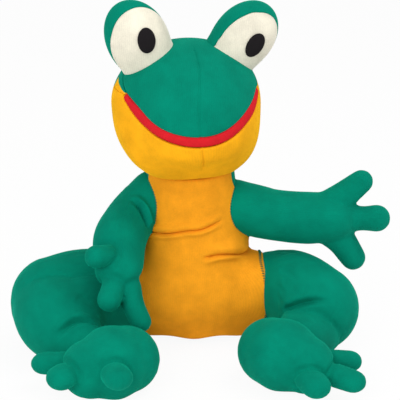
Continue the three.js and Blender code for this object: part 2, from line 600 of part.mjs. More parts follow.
for (const [side, sign] of Object.entries(SIDES)) {
  // Arm, on a shallow collar that seats its round end
  const radius = SHOULDER_RADIUS[side];
  const height = NECK_HEIGHT - SHOULDER_DROP[side];
  const shoulder = new THREE.Vector3(
    torsoAxis(height).x + sign * (torsoHalfWidth(height) + radius + SEAM_GAP),
    -SHOULDER_FORWARD,
    height,
  );
  const collarRound = (grow, faces) =>
    solid(
      new THREE.CylinderGeometry(ARMHOLE_RADIUS + grow, ARMHOLE_RADIUS + grow, radius, faces)
        .rotateZ(Math.PI / 2)
        .translate(shoulder.x - sign * radius, shoulder.y, shoulder.z),
    );
  const armSeat = seatBall(radius + SEAM_GAP, shoulder);
  const collar = collarRound(0, LIMB_SIDES).subtract(torsoGrown).subtract(armSeat);
  const pad = collar.decompose().sort((a, b) => b.volume() - a.volume())[0];
  piece(puppet, `armhole_collar_${side}`, pad, GREEN);
  const armPath = sized(ARMS[side].arm, ARM_LENGTH, ARM_RADIUS);
  const fingerPaths = ARMS[side].fingers.map((path) => sized(path, ARM_LENGTH, ARM_RADIUS));
  const armForm = (grow, share) =>
    join([
      stuffedTube(armPath, LIMB_SIDES, shoulder, grow, share),
      ...fingerPaths.map((path) => stuffedTube(path, DIGIT_SIDES, shoulder, grow, share)),
    ]);
  const head = solid(new THREE.SphereGeometry(radius, HEAD_SIDES, HEAD_RINGS).translate(...shoulder));
  const seat = collarRound(SEAM_GAP, 2 * LIMB_SIDES).subtract(head);
  const mouthOfArm = solid(
    new THREE.CylinderGeometry(ARMHOLE_RADIUS - 4, ARMHOLE_RADIUS - 4, 10, 12)
      .rotateZ(Math.PI / 2)
      .translate(shoulder.x - sign * radius, shoulder.y, shoulder.z),
  );
  const armCut = (body) => body.subtract(torsoGrown).subtract(seat).subtract(mouthOfArm);
  const arm = joint(puppet, `shoulder_${side}`, shoulder);
  limbPieces(arm, `arm_${side}`, armForm, armCut);

  // Leg: thigh with a round knee, and the shin and foot that fold under it
  const hip = hipAt(side);
  const thigh = joint(puppet, `hip_${side}`, hip);
  const legPath = (path) => sized(path, LEG_LENGTH, FOOT_RADIUS);
  const thighPath = legPath(LEGS[side].thigh);
  const shinPath = legPath(LEGS[side].shin);
  const footPath = legPath(LEGS[side].foot);
  const toePaths = LEGS[side].toes.map(legPath);
  const outside = halfSpace(hip.clone().setX(hip.x + sign * SEAM_GAP), new THREE.Vector3(sign, 0, 0));
  const thighForm = (grow, share) => stuffedTube(thighPath, LIMB_SIDES, hip, grow, share);
  limbPieces(thigh, `thigh_${side}`, thighForm, (body) => body.intersect(outside));

  const knee = new THREE.Vector3(...thighPath.at(-1).slice(0, 3)).add(hip);
  const lower = joint(thigh, `knee_${side}`, knee);
  const kneeSeat = seatBall(KNEE_RADIUS[side] + KNEE_CLEARANCE, knee);
  const thighGrown = thighForm(KNEE_CLEARANCE, 1).add(kneeSeat);
  const shinForm = (grow, share) => stuffedTube(shinPath, LIMB_SIDES, knee, grow, share);
  limbPieces(lower, `shin_${side}`, shinForm, (body) => body.subtract(thighGrown));
  const footForm = (grow, share) =>
    join([
      stuffedTube(footPath, LIMB_SIDES, knee, grow, share),
      ...toePaths.map((path) => stuffedTube(path, DIGIT_SIDES, knee, grow, share)),
    ]);
  const shinGrown = shinForm(SEAM_GAP, 1);
  limbPieces(lower, `foot_${side}`, footForm, (body) => body.subtract(shinGrown).subtract(thighGrown));
}

// Set the origin under the middle of the puppet, on the surface that it sits on
const box = new THREE.Box3().setFromObject(puppet, true);
const middle = box.getCenter(new THREE.Vector3());
const frame = new THREE.Group();
puppet.position.set(-middle.x, -middle.y, -box.min.z);
frame.add(puppet);

export default frame;
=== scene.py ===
"""Frog hand puppet in velour plush: the soft skins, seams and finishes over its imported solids."""
import json
import math

import bmesh
import bpy
import numpy as np
from bpy.props import FloatProperty, FloatVectorProperty, PointerProperty
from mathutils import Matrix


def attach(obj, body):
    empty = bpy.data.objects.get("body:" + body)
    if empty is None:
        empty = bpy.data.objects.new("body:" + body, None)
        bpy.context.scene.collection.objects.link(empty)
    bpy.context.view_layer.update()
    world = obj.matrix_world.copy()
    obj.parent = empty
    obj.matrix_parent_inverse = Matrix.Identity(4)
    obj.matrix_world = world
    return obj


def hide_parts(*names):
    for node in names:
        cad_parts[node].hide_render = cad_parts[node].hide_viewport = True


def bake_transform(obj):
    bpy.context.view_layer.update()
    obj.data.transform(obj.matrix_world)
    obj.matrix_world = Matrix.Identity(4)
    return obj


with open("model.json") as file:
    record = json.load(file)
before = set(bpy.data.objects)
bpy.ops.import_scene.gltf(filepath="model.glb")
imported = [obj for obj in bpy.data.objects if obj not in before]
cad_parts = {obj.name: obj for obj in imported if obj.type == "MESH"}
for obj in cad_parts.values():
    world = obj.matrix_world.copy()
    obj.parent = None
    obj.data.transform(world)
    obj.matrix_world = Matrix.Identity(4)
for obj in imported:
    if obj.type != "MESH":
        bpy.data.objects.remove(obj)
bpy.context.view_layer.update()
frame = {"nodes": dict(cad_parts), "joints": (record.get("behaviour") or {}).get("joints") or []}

bl_info = {
    "name": "Frog hand puppet",
    "version": (1, 0, 0),
    "blender": (4, 5, 0),
    "location": "View3D > Sidebar > Frog",
    "description": "Sews a stuffed velour frog over the packed solids of a hand puppet",
    "category": "Object",
}

MM = 0.001

# Places that come from the frame, in millimetres. The puppet's own frame has x = 0 at its middle,
# y = 0 near the torso's axis and z = 0 on the floor.
JOINTS = {joint["name"]: joint for joint in frame["joints"]}


def joint_at(name):
    """A joint's place in the row frame, in millimetres."""
    return np.array(JOINTS[name]["pos_m"], float) * 1000


PUPPET = joint_at("hip_left") - np.array([86.0, -22.0, 50.0])
HEAD_AT = joint_at("neck_turn") - PUPPET
HEAD_YAW = math.atan2(JOINTS["neck_nod"]["axis"][1], JOINTS["neck_nod"]["axis"][0])
HEAD_TURN = np.array(
    [
        [math.cos(HEAD_YAW), -math.sin(HEAD_YAW), 0],
        [math.sin(HEAD_YAW), math.cos(HEAD_YAW), 0],
        [0, 0, 1],
    ]
)
SIDES = {"left": 1, "right": -1}
ACROSS = np.array([1.0, 0, 0])
UP = np.array([0, 0, 1.0])

# Torso: half width, half depth and height of its oval sections, from hem to neck
TORSO_SECTIONS = np.array(
    [[69, 43, 0], [82, 63, 42], [58, 57, 86], [48, 46, 130], [43, 43, 176]], float
)
TORSO_TOP = 176.0
HIP_AT = np.array([0.0, -22.0, 50.0])
HIP_RADIUS = 37.0
HIP_SEAM_X = 75.0  # where the legs are sewn on, at the middle of the seam
HIP_SEAM_BOW = 5.0  # how much nearer to the middle the seam is 33 mm above and below
HIP_ROUND_X = 62.0  # the hip is round from here
HIP_STITCH_INSET = 4.0
STITCH_LENGTH = 3.4
THREAD_RADIUS = 0.5
NECK_DIP = 3.0  # the front of the neck is cut lower, and the chin hangs over it
# The belly's slump on the frog's left, as bell curves: how far it moves the skin, at what height, how wide
SLUMPS = ((4.5, 104, 8), (-2.0, 89, 4.5))
# Where front and back are sewn together, in radians from the sleeve's widest point: behind it below, and in
# front of it at the neck
SIDE_SEAM = 0.16
NECK_SEAM = 0.36
LINING_TOP = 166.0
LINING_GAP = 0.8
GUSSET_LIFT = 3.4  # how far the neck gusset lies outside the ball of the head
GUSSET_WALL = 2.8
GUSSET_RADIUS = 43.5
GUSSET_TONGUE = math.radians(11)  # more of it at the front, so that no slit opens when the head tips back

# Mouth, in the head's frame: it folds on a line and slopes down to the lip
FOLD = np.array([0.0, -30.0, 17.0])
MOUTH_SLOPE = math.radians(25)
NAPE_SLOPE = math.radians(28)
MOUTH_UP = np.array([0, -math.sin(MOUTH_SLOPE), math.cos(MOUTH_SLOPE)])
MOUTH_FORWARD = np.array([0, -math.cos(MOUTH_SLOPE), -math.sin(MOUTH_SLOPE)])
NAPE_UP = np.array([0, -math.sin(NAPE_SLOPE), math.cos(NAPE_SLOPE)])
FOLD_TAPE = 1.4  # radius
# Seams down the face: depth, width, and how far forward they start and are full
CROWN_SEAM = (1.2, 1.3, (10, 40))
CHIN_SEAM = (1.6, 1.0, (30, 50))
# How far the chin sags over the neck: all round, more at the front, and more on the frog's right
CHIN_SAG, CHIN_SAG_FRONT, CHIN_SAG_RIGHT = 2.5, 5.5, 5
# How far the stuffing sits to the frog's right, how much more at the muzzle, and how much broader that is
SWAY, SWAY_FRONT, MUZZLE_BROADER = 3.6, 5.4, 0.06
CHEEK_BACK = 36  # the chin's cloth ends this far behind the fold
POCKET_BEHIND = 8  # how far the pockets reach behind the fold
POCKET_CLOTH = 1.4
POCKET_ROOM = 7  # kept between the pockets and the head's skin

# Eyes, in the head's frame: place, outward lean, the hood's seam by its facing and its distance in front of
# the middle, and the pupil by its direction and tilt. Angles are in degrees
EYES = {
    "left": {
        "at": (52.8, -4, 62.6), "lean": 40, "hood": (5, -13), "forward": 10.6, "gaze": (10.7, -6), "tilt": 28,
    },
    "right": {
        "at": (-51, -4, 66), "lean": 28, "hood": (17, -14), "forward": 3.0, "gaze": (9, 6), "tilt": -6,
    },
}
EYE_STEP = 9.0  # from the hood's seam to the middle of the rays that shape either half
EYE_SEAM = 0.15  # half the gap between the halves
EYE_FLARE = (3.5, 5.0)  # how much an eye widens on the head, and over what height that fades
PUPIL_LIFT = 0.4

# Limbs: runs of x, y, z and radius from each joint, in millimetres
ARMS = {
    "left": [
        [[-32, 6, 5, 27], [-12, 4, 1, 26], [8, 1, -2.5, 25], [36, 0, -5, 25.5], [62, -2, -4, 25.5]],
        [[54, -2, 1, 19], [71, -2, 15.5, 14.5], [91, -2, 33, 11.5]],
        [[70, -2, -4, 17], [92, -2, -5, 12.5], [107, -2, -5, 13.5]],
        [[56, -2, -10, 19], [72, -3, -26, 14.5], [85, -4, -45, 12.5]],
    ],
    "right": [
        [[29.5, 2, 7, 27], [13.5, -8, -4.5, 25], [3.5, -24, -12.5, 24.5], [-3, -44, -23, 25.5],
         [-3, -66, -42, 23]],
        [[-6, -60, -30, 14], [-14, -78, -25, 10.5], [-23, -87, -22.5, 11]],
        [[-4, -68, -46, 15], [-8, -85, -54, 11], [-11, -95, -62, 11.5]],
        [[2, -68, -50, 15.5], [9.5, -82, -70, 11], [18, -90, -86, 10]],
    ],
}
LEGS = {
    "left": {
        "leg": [
            [[-19, 0, 0, 35], [2, -2, 1, 37.5], [16, -18, 2, 39], [31.5, -38, -5.5, 42]],
            [[33, -38, -16, 32.5], [22, -70, -20, 28], [10, -96, -19, 26]],
        ],
        "foot": [
            [[-45.5, -71, -15, 31.5], [-33, -88, -12.5, 33.5], [-16, -101, -15, 26.5]],
            [[-10, -84, -18, 13], [26, -77, -22, 12]],
            [[-12, -98, -18, 14], [25, -119, -23, 12.5]],
            [[-22, -104, -18, 15], [-9, -138, -19, 13.5]],
        ],
    },
    "right": {
        "leg": [
            [[19, 0, 0, 35], [-4, -2, 1, 37.5], [-28, -10, 2.5, 39], [-51.5, -22, -4, 43]],
            [[-53, -22, -8, 42], [-44, -62, -12, 38], [-20, -96, -24, 25]],
            [[2, -12, -9, 36], [-30, -42, -8, 36], [-37, -64, -12, 35]],
        ],
        "foot": [
            [[75, -108, -14.5, 31], [60, -121, -13, 34], [44, -128, -15, 27]],
            [[30, -116, -15, 13], [1, -111, -17, 12.5]],
            [[38, -128, -13, 15], [20, -150, -13.5, 14]],
            [[60, -132, -10, 14], [71, -167, -6, 13.5]],
        ],
    },
}

# Where an arm's skin starts to follow the arm and where it does so fully, from the shoulder
ARM_BLENDS = {
    "left": np.array([[-16.0, 0, 0], [14, -4, 0]]),
    "right": np.array([[12.0, 6, 4], [-4, -26, -10]]),
}

KNEE_BLEND = np.array([0, -45.0, -11.25])  # the way from the knee over which a leg comes to follow the shin

# Creases: those of the belly as x and z on its front, those of the limbs in space, with depth and width
BELLY_CREASES = [
    ([[-52, 115], [-29, 118], [-9.5, 122.5], [5, 123.7], [16.6, 127], [27, 129]], 5.0, 1.6),
    ([[8, 95.5], [17, 97.8], [24.5, 98.3], [37, 95.9], [51, 89.6], [60, 86]], 6.0, 1.8),
]
LIMB_CREASES = {
    "arm_plush_right": [
        ([[-66, -43, 147], [-59, -44, 147], [-54, -47, 144.5], [-50.1, -50.8, 139.3], [-47.2, -54.1, 133.3],
          [-45, -55.5, 125]], 11.0, 2.2, (0.45, 0.05), (0.5, 0.1)),
    ],
    "leg_plush_right": [
        ([[-131, -130, 41], [-126, -129, 46], [-120.5, -127, 51], [-113, -123, 54.7], [-105, -118.6, 54.8],
          [-97, -114.4, 51], [-89, -110, 44]], 7.0, 2.6, (0.2, 0.2), (0.45, 0.3)),
    ],
    "leg_plush_left": [
        ([[79.6, -77.8, 44], [88.5, -89, 54], [97.8, -93.4, 60], [108, -95.3, 63.6], [118.5, -96, 65],
          [134, -95, 63]], 7.0, 2.6, (0.2, 0.2), (0.3, 0.45)),
    ],
}
# How deep the skin is drawn in round the fingers and toes, and the height of a toe against its width
DRAWN_IN = {"arm_plush_left": 0.6, "arm_plush_right": 2.2, "foot_plush_left": 3.0, "foot_plush_right": 3.2}
DRAW_WIDTH = 3.0
TOE_SQUAT = 0.8

# Stuffing: how near its seam a skin is pinned, the cloth, and the frames that it takes to settle
PINNED = {"arm": 30, "foot": 30, "leg": 14}
CLOTH = {
    "quality": 5, "mass": 0.15, "air_damping": 4, "tension_stiffness": 12, "compression_stiffness": 12,
    "bending_stiffness": 1.2, "shrink_min": -0.02, "use_pressure": True,
}
CLOTH_FRAMES = 16
FLOOR_GAP = 0.6  # the skins rest just above the floor, and what would be lower is pressed nearly flat
FLOOR_GIVE = 0.15

VIEW_AT = np.array([5.0, 0, 135.0])  # what the camera looks at
AIM_HEIGHT = 0.14  # what the softboxes are aimed at, in metres above the floor
# Light: place from the puppet's middle in metres, share of the key light's power, and width in metres
SOFTBOXES = {
    "softbox_left": ((-0.5, -1.25, 0.9), 1.0, 1.0),
    "softbox_front": ((0.0, -1.5, 0.3), 0.4, 1.2),
    "softbox_top": ((0.6, -0.1, 1.3), 0.7, 1.0),
}


def linear(hexa):
    """An sRGB hex colour as linear red, green, blue and alpha."""
    parts = [int(hexa[i : i + 2], 16) / 255 for i in (1, 3, 5)]
    return [c / 12.92 if c <= 0.04045 else ((c + 0.055) / 1.055) ** 2.4 for c in parts] + [1.0]


def a_length(name, about, default):
    """A length in metres for the sidebar."""
    return FloatProperty(name=name, description=about, default=default, unit="LENGTH")


def three_lengths(name, about, default):
    """Lengths along three axes for the sidebar."""
    return FloatVectorProperty(name=name, description=about, default=default, subtype="XYZ_LENGTH")


def a_dye(name, about, hexa):
    """A colour for the sidebar."""
    return FloatVectorProperty(name=name, description=about, size=4, subtype="COLOR", default=linear(hexa))


class FrogHead(bpy.types.PropertyGroup):
    """Sizes of the head, the mouth and the eyes."""

    radius: a_length("Head radius", "Ball of the head", 0.0725)
    muzzle: a_length("Muzzle", "How far the muzzle stands out", 0.020)
    flattening: a_length("Flattening", "How much lower the crown is than a ball", 0.011)
    wall: a_length("Wall", "Padded plush of the head", 0.004)
    lip: a_length("Lip", "Height of the red lip", 0.0105)
    neck_hole: a_length("Neck hole", "Radius of the hand's way", 0.033)
    eye: three_lengths("Eye", "Half sizes of an eye lobe", (0.0295, 0.027, 0.0385))
    pupil: three_lengths("Pupil", "Half width, thickness and half height", (0.0087, 0.0016, 0.0122))


class FrogBody(bpy.types.PropertyGroup):
    """Sizes of the sleeve and the stuffing."""

    wall: a_length("Wall", "Padded plush of the sleeve", 0.005)
    lining: a_length("Lining", "Lining cloth", 0.0015)
    hem_lift: a_length("Hem lift", "Wave of the front hem", 0.009)
    voxel: a_length("Skin step", "Mesh step of a stuffed limb", 0.0022)
    swell: a_length("Swell", "Most that stuffing moves a skin", 0.004)
    pressure: FloatProperty(name="Pressure", description="Push of the stuffing", default=3.0)
    stitch: a_length("Stitch pitch", "Distance between stitches", 0.0026)


class FrogColours(bpy.types.PropertyGroup):
    """Dyes of the fabrics."""

    green: a_dye("Green", "Velour of back, head and limbs", "#007B64")
    belly: a_dye("Belly", "Velour of the front", "#EC9A1F")
    chin: a_dye("Chin", "Velour of the chin", "#F0A718")
    red: a_dye("Mouth", "Felt of the mouth", "#CE1F28")
    white: a_dye("Eye white", "Velour of the eyes", "#DDD7C5")
    black: a_dye("Pupil", "Felt of the pupils", "#1C191B")
    lining: a_dye("Lining", "Cotton lining", "#1F6A58")
    card: a_dye("Card", "Stiff card in the mouth", "#B59A74")


class FrogStage(bpy.types.PropertyGroup):
    """Camera and light."""

    elevation: FloatProperty(
        name="Elevation", description="Camera height angle", default=math.radians(18), subtype="ANGLE"
    )
    distance: a_length("Distance", "Camera to puppet", 1.5)
    span: a_length("Span", "Width of the view at the puppet", 0.4)
    key: FloatProperty(name="Key light", description="Power of the main softbox", default=9.4)
    fill: FloatProperty(name="Fill light", description="Strength of the light tent", default=0.68)


def smoothstep(x, low, high):
    """0 below low, 1 above high, and 3t^2 - 2t^3 between."""
    t = np.clip((np.asarray(x, float) - low) / (high - low), 0, 1)
    return t * t * (3 - 2 * t)


def bell(x, width):
    """A bell curve, exp(-(x/width)^2)."""
    return np.exp(-((x / width) ** 2))


def halved(holds, low, high, steps):
    """For arrays of intervals, the last value at which a test holds, found by halving each interval."""
    for _ in range(steps):
        middle = (low + high) / 2
        inside = holds(middle)
        low, high = np.where(inside, middle, low), np.where(inside, high, middle)
    return low


def soft_min(values, round_off):
    """The least of some arrays, with the corner where two cross rounded: -k log of the sum of exp(-v/k)."""
    stack = np.stack(values)
    least = stack.min(0)
    return least - round_off * np.log(np.exp(-(stack - least) / round_off).sum(0))


def unit(vectors):
    """Vectors at length one."""
    return vectors / np.maximum(np.linalg.norm(vectors, axis=-1, keepdims=True), 1e-9)


def curve_through(knots, count):
    """Points on a smooth curve through knots: cubic spans whose slope is half the step between
    neighbours."""
    knots = np.asarray(knots, float)
    padded = np.vstack([2 * knots[0] - knots[1], knots, 2 * knots[-1] - knots[-2]])
    t = np.linspace(0, len(knots) - 1, count)
    i = np.minimum(t.astype(int), len(knots) - 2)
    f = (t - i)[:, None]
    a, b, c, d = (padded[i + k] for k in range(4))
    return 0.5 * (2 * b + (c - a) * f + (2 * a - 5 * b + 4 * c - d) * f**2 + (3 * b - a - 3 * c + d) * f**3)


def nearest_on_path(points, path):
    """For each point and a chain of straight spans: the vector from the nearest place on the chain, the
    share of the spans up to that place, and its span, over all spans at once."""
    start, step = path[:-1], np.diff(path, axis=0)
    offset = points[..., None, :] - start
    share = np.clip((offset * step).sum(-1) / np.maximum((step**2).sum(-1), 1e-9), 0, 1)
    offset = offset - share[..., None] * step
    near = np.linalg.norm(offset, axis=-1).argmin(-1)[..., None]
    share = np.take_along_axis(share, near, -1) + near
    offset = np.take_along_axis(offset, near[..., None], -2)
    return offset[..., 0, :], share[..., 0] / len(step), step[near[..., 0]]


def grid_faces(rows, columns, wrap=False, first=0):
    """Quads of a grid of points stored row by row; wrap joins the last column to the first."""
    row = np.arange(rows - 1)[:, None] * columns
    column = np.arange(columns if wrap else columns - 1)[None, :]
    after = (column + 1) % columns
    quads = np.stack([row + column, row + after, row + columns + after, row + columns + column], -1)
    return quads.reshape(-1, 4) + first


def fan_faces(apex, ring):
    """Triangles from one point to a closed ring."""
    return np.stack([np.full(len(ring), apex), ring, np.roll(ring, -1)], -1)


def capped_faces(rows, sides):
    """Faces of a closed form whose first two points are its poles, and the others rings from one to the
    other."""
    ids = 2 + np.arange(rows * sides).reshape(rows, sides)
    return [grid_faces(rows, sides, True, 2), fan_faces(0, ids[0][::-1]), fan_faces(1, ids[-1])]


def set_wale(mesh, wale):
    """Keeps the place across the ribs with each point of a mesh, in mm."""
    values = np.asarray(wale, np.float32)
    mesh.attributes.new("wale", "FLOAT", "POINT").data.foreach_set("value", values)


def new_piece(name, points, faces, wale=None):
    """A mesh object from points in the puppet's frame in mm; wale is the place across the ribs, in mm."""
    mesh = bpy.data.meshes.new(name)
    every = [face for group in faces for face in group.tolist()]
    mesh.from_pydata(((points + PUPPET) * MM).tolist(), [], every)
    if wale is not None:
        set_wale(mesh, wale)
    shape = bmesh.new()
    shape.from_mesh(mesh)
    bmesh.ops.recalc_face_normals(shape, faces=shape.faces)
    shape.to_mesh(mesh)
    shape.free()
    mesh.shade_smooth()
    piece = bpy.data.objects.new(name, mesh)
    bpy.context.scene.collection.objects.link(piece)
    return piece


def points_of(piece):
    """A piece's points in the puppet's frame, in mm."""
    flat = np.zeros(len(piece.data.vertices) * 3, np.float32)
    piece.data.vertices.foreach_get("co", flat)
    return flat.reshape(-1, 3).astype(float) * 1000 - PUPPET


def set_points(piece, points):
    """Puts points in the puppet's frame back into a piece."""
    piece.data.vertices.foreach_set("co", ((points + PUPPET) * MM).astype(np.float32).ravel())
    piece.data.update()


def normals_of(piece):
    """A piece's point normals."""
    flat = np.zeros(len(piece.data.vertices) * 3, np.float32)
    piece.data.vertex_normals.foreach_get("vector", flat)
    return flat.reshape(-1, 3).astype(float)


def edge_distance(outer, free):
    """For each grid point, the length along its row or column to the nearest free edge of the panel."""
    down = np.linalg.norm(np.diff(outer, axis=0), axis=-1)
    along = np.linalg.norm(np.diff(outer, axis=1), axis=-1)
    run_down = np.vstack([np.zeros((1, outer.shape[1])), np.cumsum(down, 0)])
    run_along = np.hstack([np.zeros((outer.shape[0], 1)), np.cumsum(along, 1)])
    ways = {"first_row": run_down, "last_row": run_down[-1] - run_down,
            "first_column": run_along, "last_column": run_along[:, -1:] - run_along}
    return np.min([ways[edge] for edge in free], axis=0)


ROW_EDGES = ("first_row", "last_row")
ALL_EDGES = (*ROW_EDGES, "first_column", "last_column")


def panel(name, outer, inward, wall, free, wrap=False, apex=None, roll=None, wale=None, hold=1.0):
    """A padded panel: an outer grid of points, an inner one a wall further in, and strips that close its
    edges. Towards each free edge both faces draw together on a quarter circle of radius roll, as a sewn
    edge does, by a share hold of half the wall. apex closes the first row over a pole."""
    rows, columns = outer.shape[:2]
    roll = roll or wall
    near = np.clip(1 - edge_distance(outer, free) / roll, 0, 1)
    tuck = 0.46 * wall * (hold * (1 - np.sqrt(1 - near**2)))[..., None]
    shown = (outer + inward * tuck).reshape(-1, 3)
    hidden = (outer + inward * (wall - tuck)).reshape(-1, 3)
    count = rows * columns
    points = [shown, hidden]
    faces = [grid_faces(rows, columns, wrap), grid_faces(rows, columns, wrap, count)[:, ::-1]]
    ids = np.arange(count).reshape(rows, columns)
    rims = [] if apex is not None else [ids[0]]
    rims.append(ids[-1][::-1])
    if not wrap:
        rims += [ids[::-1, 0], ids[:, -1]]
    for rim in rims:
        after = np.roll(rim, -1)
        strip = np.stack([rim, after, after + count, rim + count], -1)
        faces.append(strip if wrap else strip[:-1])
    if apex is not None:
        points.append(np.array([apex, apex + inward[0].mean(0) * wall]))
        faces += [fan_faces(2 * count, ids[0]), fan_faces(2 * count + 1, ids[0][::-1] + count)]
    if wale is not None:
        wale = np.concatenate([wale.ravel(), wale.ravel(), np.zeros(0 if apex is None else 2)])
    return new_piece(name, np.vstack(points), faces, wale)


def ball_grid(rings, sides, axis):
    """Unit directions of a ball whose poles lie on an axis: the two poles, then rings of equal angle."""
    axis = unit(np.asarray(axis, float))
    across = unit(np.cross(axis, [0.31, 0.17, 0.93] if abs(axis[2]) < 0.9 else [1.0, 0, 0]))
    over = np.cross(axis, across)
    polar = (np.pi * np.arange(1, rings) / rings)[:, None, None]
    turn = (2 * np.pi * np.arange(sides) / sides)[None, :, None]
    body = np.cos(polar) * axis + np.sin(polar) * (np.cos(turn) * across + np.sin(turn) * over)
    return np.vstack([axis, -axis, body.reshape(-1, 3)]), capped_faces(rings - 1, sides)


def rib_coordinate(points, runs):
    """The place across the ribs of a limb, in mm: the angle round the nearest run times its radius."""
    lines = [curve_through(run, 24) for run in runs]
    slopes = [unit(np.gradient(line[:, :3], axis=0)) for line in lines]
    line, slope = np.vstack(lines), np.vstack(slopes)
    gap = np.stack([np.linalg.norm(points - spot[:3], axis=1) - spot[3] for spot in line], 1)
    near = gap.argmin(1)
    reach = points - line[near, :3]
    side = unit(np.cross(slope[near], [0.2, 0.9, 0.1]))
    over = np.cross(slope[near], side)
    return np.arctan2((reach * over).sum(1), (reach * side).sum(1)) * line[near, 3]


def tube(run, sides, sewn=None, squat=1.0):
    """A stuffed tube: rings along a smooth path of x, y, z and radius, closed by half balls, or by a
    shallow pillow at a sewn start, whose seam lies square to the direction sewn. squat is its height
    against its width. Returns points and faces."""
    steps = 10 * (len(run) - 1) + 1
    line = curve_through(run, steps)
    slope = unit(np.gradient(line[:, :3], axis=0))
    lean = np.radians(np.arange(10, 90, 10))
    shallow = 0.12 if sewn else 1.0
    centre = np.vstack([
        line[0, :3] - slope[0] * (line[0, 3] * np.sin(lean[::-1]) * shallow)[:, None],
        line[:, :3],
        line[-1, :3] + slope[-1] * (line[-1, 3] * np.sin(lean))[:, None],
    ])
    radius = np.concatenate([line[0, 3] * np.cos(lean[::-1]), line[:, 3], line[-1, 3] * np.cos(lean)])
    slope = np.vstack([np.repeat(slope[:1], len(lean), 0), slope, np.repeat(slope[-1:], len(lean), 0)])
    if sewn:
        slope[: len(lean) + 1] = unit(np.array(sewn, float))
    side = unit(np.cross(slope, [0.2, 0.3, 0.93] if abs(slope[:, 2]).mean() < 0.8 else [1.0, 0, 0]))
    over = np.cross(slope, side)
    turn = 2 * np.pi * np.arange(sides) / sides
    ring = side[:, None] * np.cos(turn)[:, None] + over[:, None] * np.sin(turn)[:, None]
    body = centre[:, None] + ring * radius[:, None, None] * np.array([1, 1, squat])
    ends = np.array([
        line[0, :3] - slope[0] * line[0, 3] * shallow, line[-1, :3] + slope[-1] * line[-1, 3],
    ])
    return np.vstack([ends, body.reshape(-1, 3)]), capped_faces(len(centre), sides)


def evaluated_mesh(piece):
    """The mesh that a piece's modifiers give, kept on the piece, with the modifiers taken off."""
    made = bpy.data.meshes.new_from_object(piece.evaluated_get(bpy.context.evaluated_depsgraph_get()))
    piece.modifiers.clear()
    old, piece.data = piece.data, made
    made.name = piece.name
    bpy.data.meshes.remove(old)


def fused_limb(name, runs, at, sewn=None, squat=1.0):
    """Tubes from one joint, joined into one skin by a voxel remesh and smoothed where they meet."""
    points, faces, count = [], [], 0
    for index, run in enumerate(runs):
        spots, quads = tube(run, 28, None if index else sewn, squat if index else 1.0)
        points.append(spots + at)
        faces += [group + count for group in quads]
        count += len(spots)
    piece = new_piece(name, np.vstack(points), faces)
    fuse = piece.modifiers.new("fuse", "REMESH")
    fuse.mode = "VOXEL"
    fuse.voxel_size = bpy.context.scene.frog_body.voxel
    ease = piece.modifiers.new("ease", "SMOOTH")
    ease.factor = 0.5
    ease.iterations = 4
    evaluated_mesh(piece)
    piece.data.shade_smooth()
    return piece


def stuff(pieces, pins):
    """Blows stuffing into closed skins by a cloth simulation with air pressure and no gravity, all at once.
    A point moves at most the swell; pins names the points that stay, one mask for each piece."""
    body = bpy.context.scene.frog_body
    rest = [points_of(piece) for piece in pieces]
    for piece, pin in zip(pieces, pins):
        cloth = piece.modifiers.new("stuffing", "CLOTH")
        for key, value in CLOTH.items():
            setattr(cloth.settings, key, value)
        cloth.settings.uniform_pressure_force = body.pressure
        cloth.settings.effector_weights.gravity = 0
        cloth.collision_settings.use_collision = False
        cloth.point_cache.frame_start = 1
        cloth.point_cache.frame_end = CLOTH_FRAMES
        piece.vertex_groups.new(name="held").add(np.flatnonzero(pin).tolist(), 1.0, "REPLACE")
        cloth.settings.vertex_group_mass = "held"
    for step in range(1, CLOTH_FRAMES + 1):
        bpy.context.scene.frame_set(step)
    graph = bpy.context.evaluated_depsgraph_get()
    moved = []
    for piece, start in zip(pieces, rest):
        mesh = piece.evaluated_get(graph).data
        flat = np.zeros(len(start) * 3, np.float32)
        mesh.vertices.foreach_get("co", flat)
        shift = flat.reshape(-1, 3).astype(float) * 1000 - PUPPET - start
        size = np.linalg.norm(shift, axis=1, keepdims=True)
        moved.append(start + shift * np.minimum(1, body.swell * 1000 / np.maximum(size, 1e-6)))
    for piece, points in zip(pieces, moved):
        piece.modifiers.clear()
        set_points(piece, points)
    bpy.context.scene.frame_set(1)


def press(piece, path, depth, width, lips, fade):
    """Presses a crease into a skin along a path: a groove exp(-(d/w)^2) deep, with soft swells at twice
    w, whose heights on the two sides of the path are shares of the depth. It fades in and out over shares
    of the path."""
    points, normals = points_of(piece), normals_of(piece)
    offset, share, step = nearest_on_path(points, np.asarray(path, float))
    gap = np.linalg.norm(offset, axis=1)
    swell = np.where((np.cross(normals, step) * offset).sum(1) > 0, *lips)
    move = swell * bell(gap - 2.1 * width, 1.3 * width) - bell(gap, width)
    move = move * smoothstep(share, 0, fade[0]) * smoothstep(1 - share, 0, fade[1])
    set_points(piece, points + normals * (depth * move)[:, None])


def draw_in(piece, runs, at, depth, squat):
    """Draws a skin in where a finger or toe leaves the rest of a limb: by the depth times a bell curve of
    the difference of the distances to the skins of the two tubes, and only where both are near."""
    points = points_of(piece) - at
    gaps = []
    for index, run in enumerate(runs):
        line = curve_through(run, 24)
        flat = np.array([1, 1, 1 / squat if index else 1])
        reach = [np.linalg.norm((points - spot[:3]) * flat, axis=1) - spot[3] for spot in line]
        gaps.append(np.min(reach, axis=0))
    move = np.zeros(len(points))
    for index in range(1, len(runs)):
        rest = np.min(gaps[:index] + gaps[index + 1 :], axis=0)
        near = bell(np.maximum(gaps[index], rest), 3 * DRAW_WIDTH)
        move = np.maximum(move, near * bell(gaps[index] - rest, DRAW_WIDTH))
    set_points(piece, points + at - normals_of(piece) * (depth * move)[:, None])


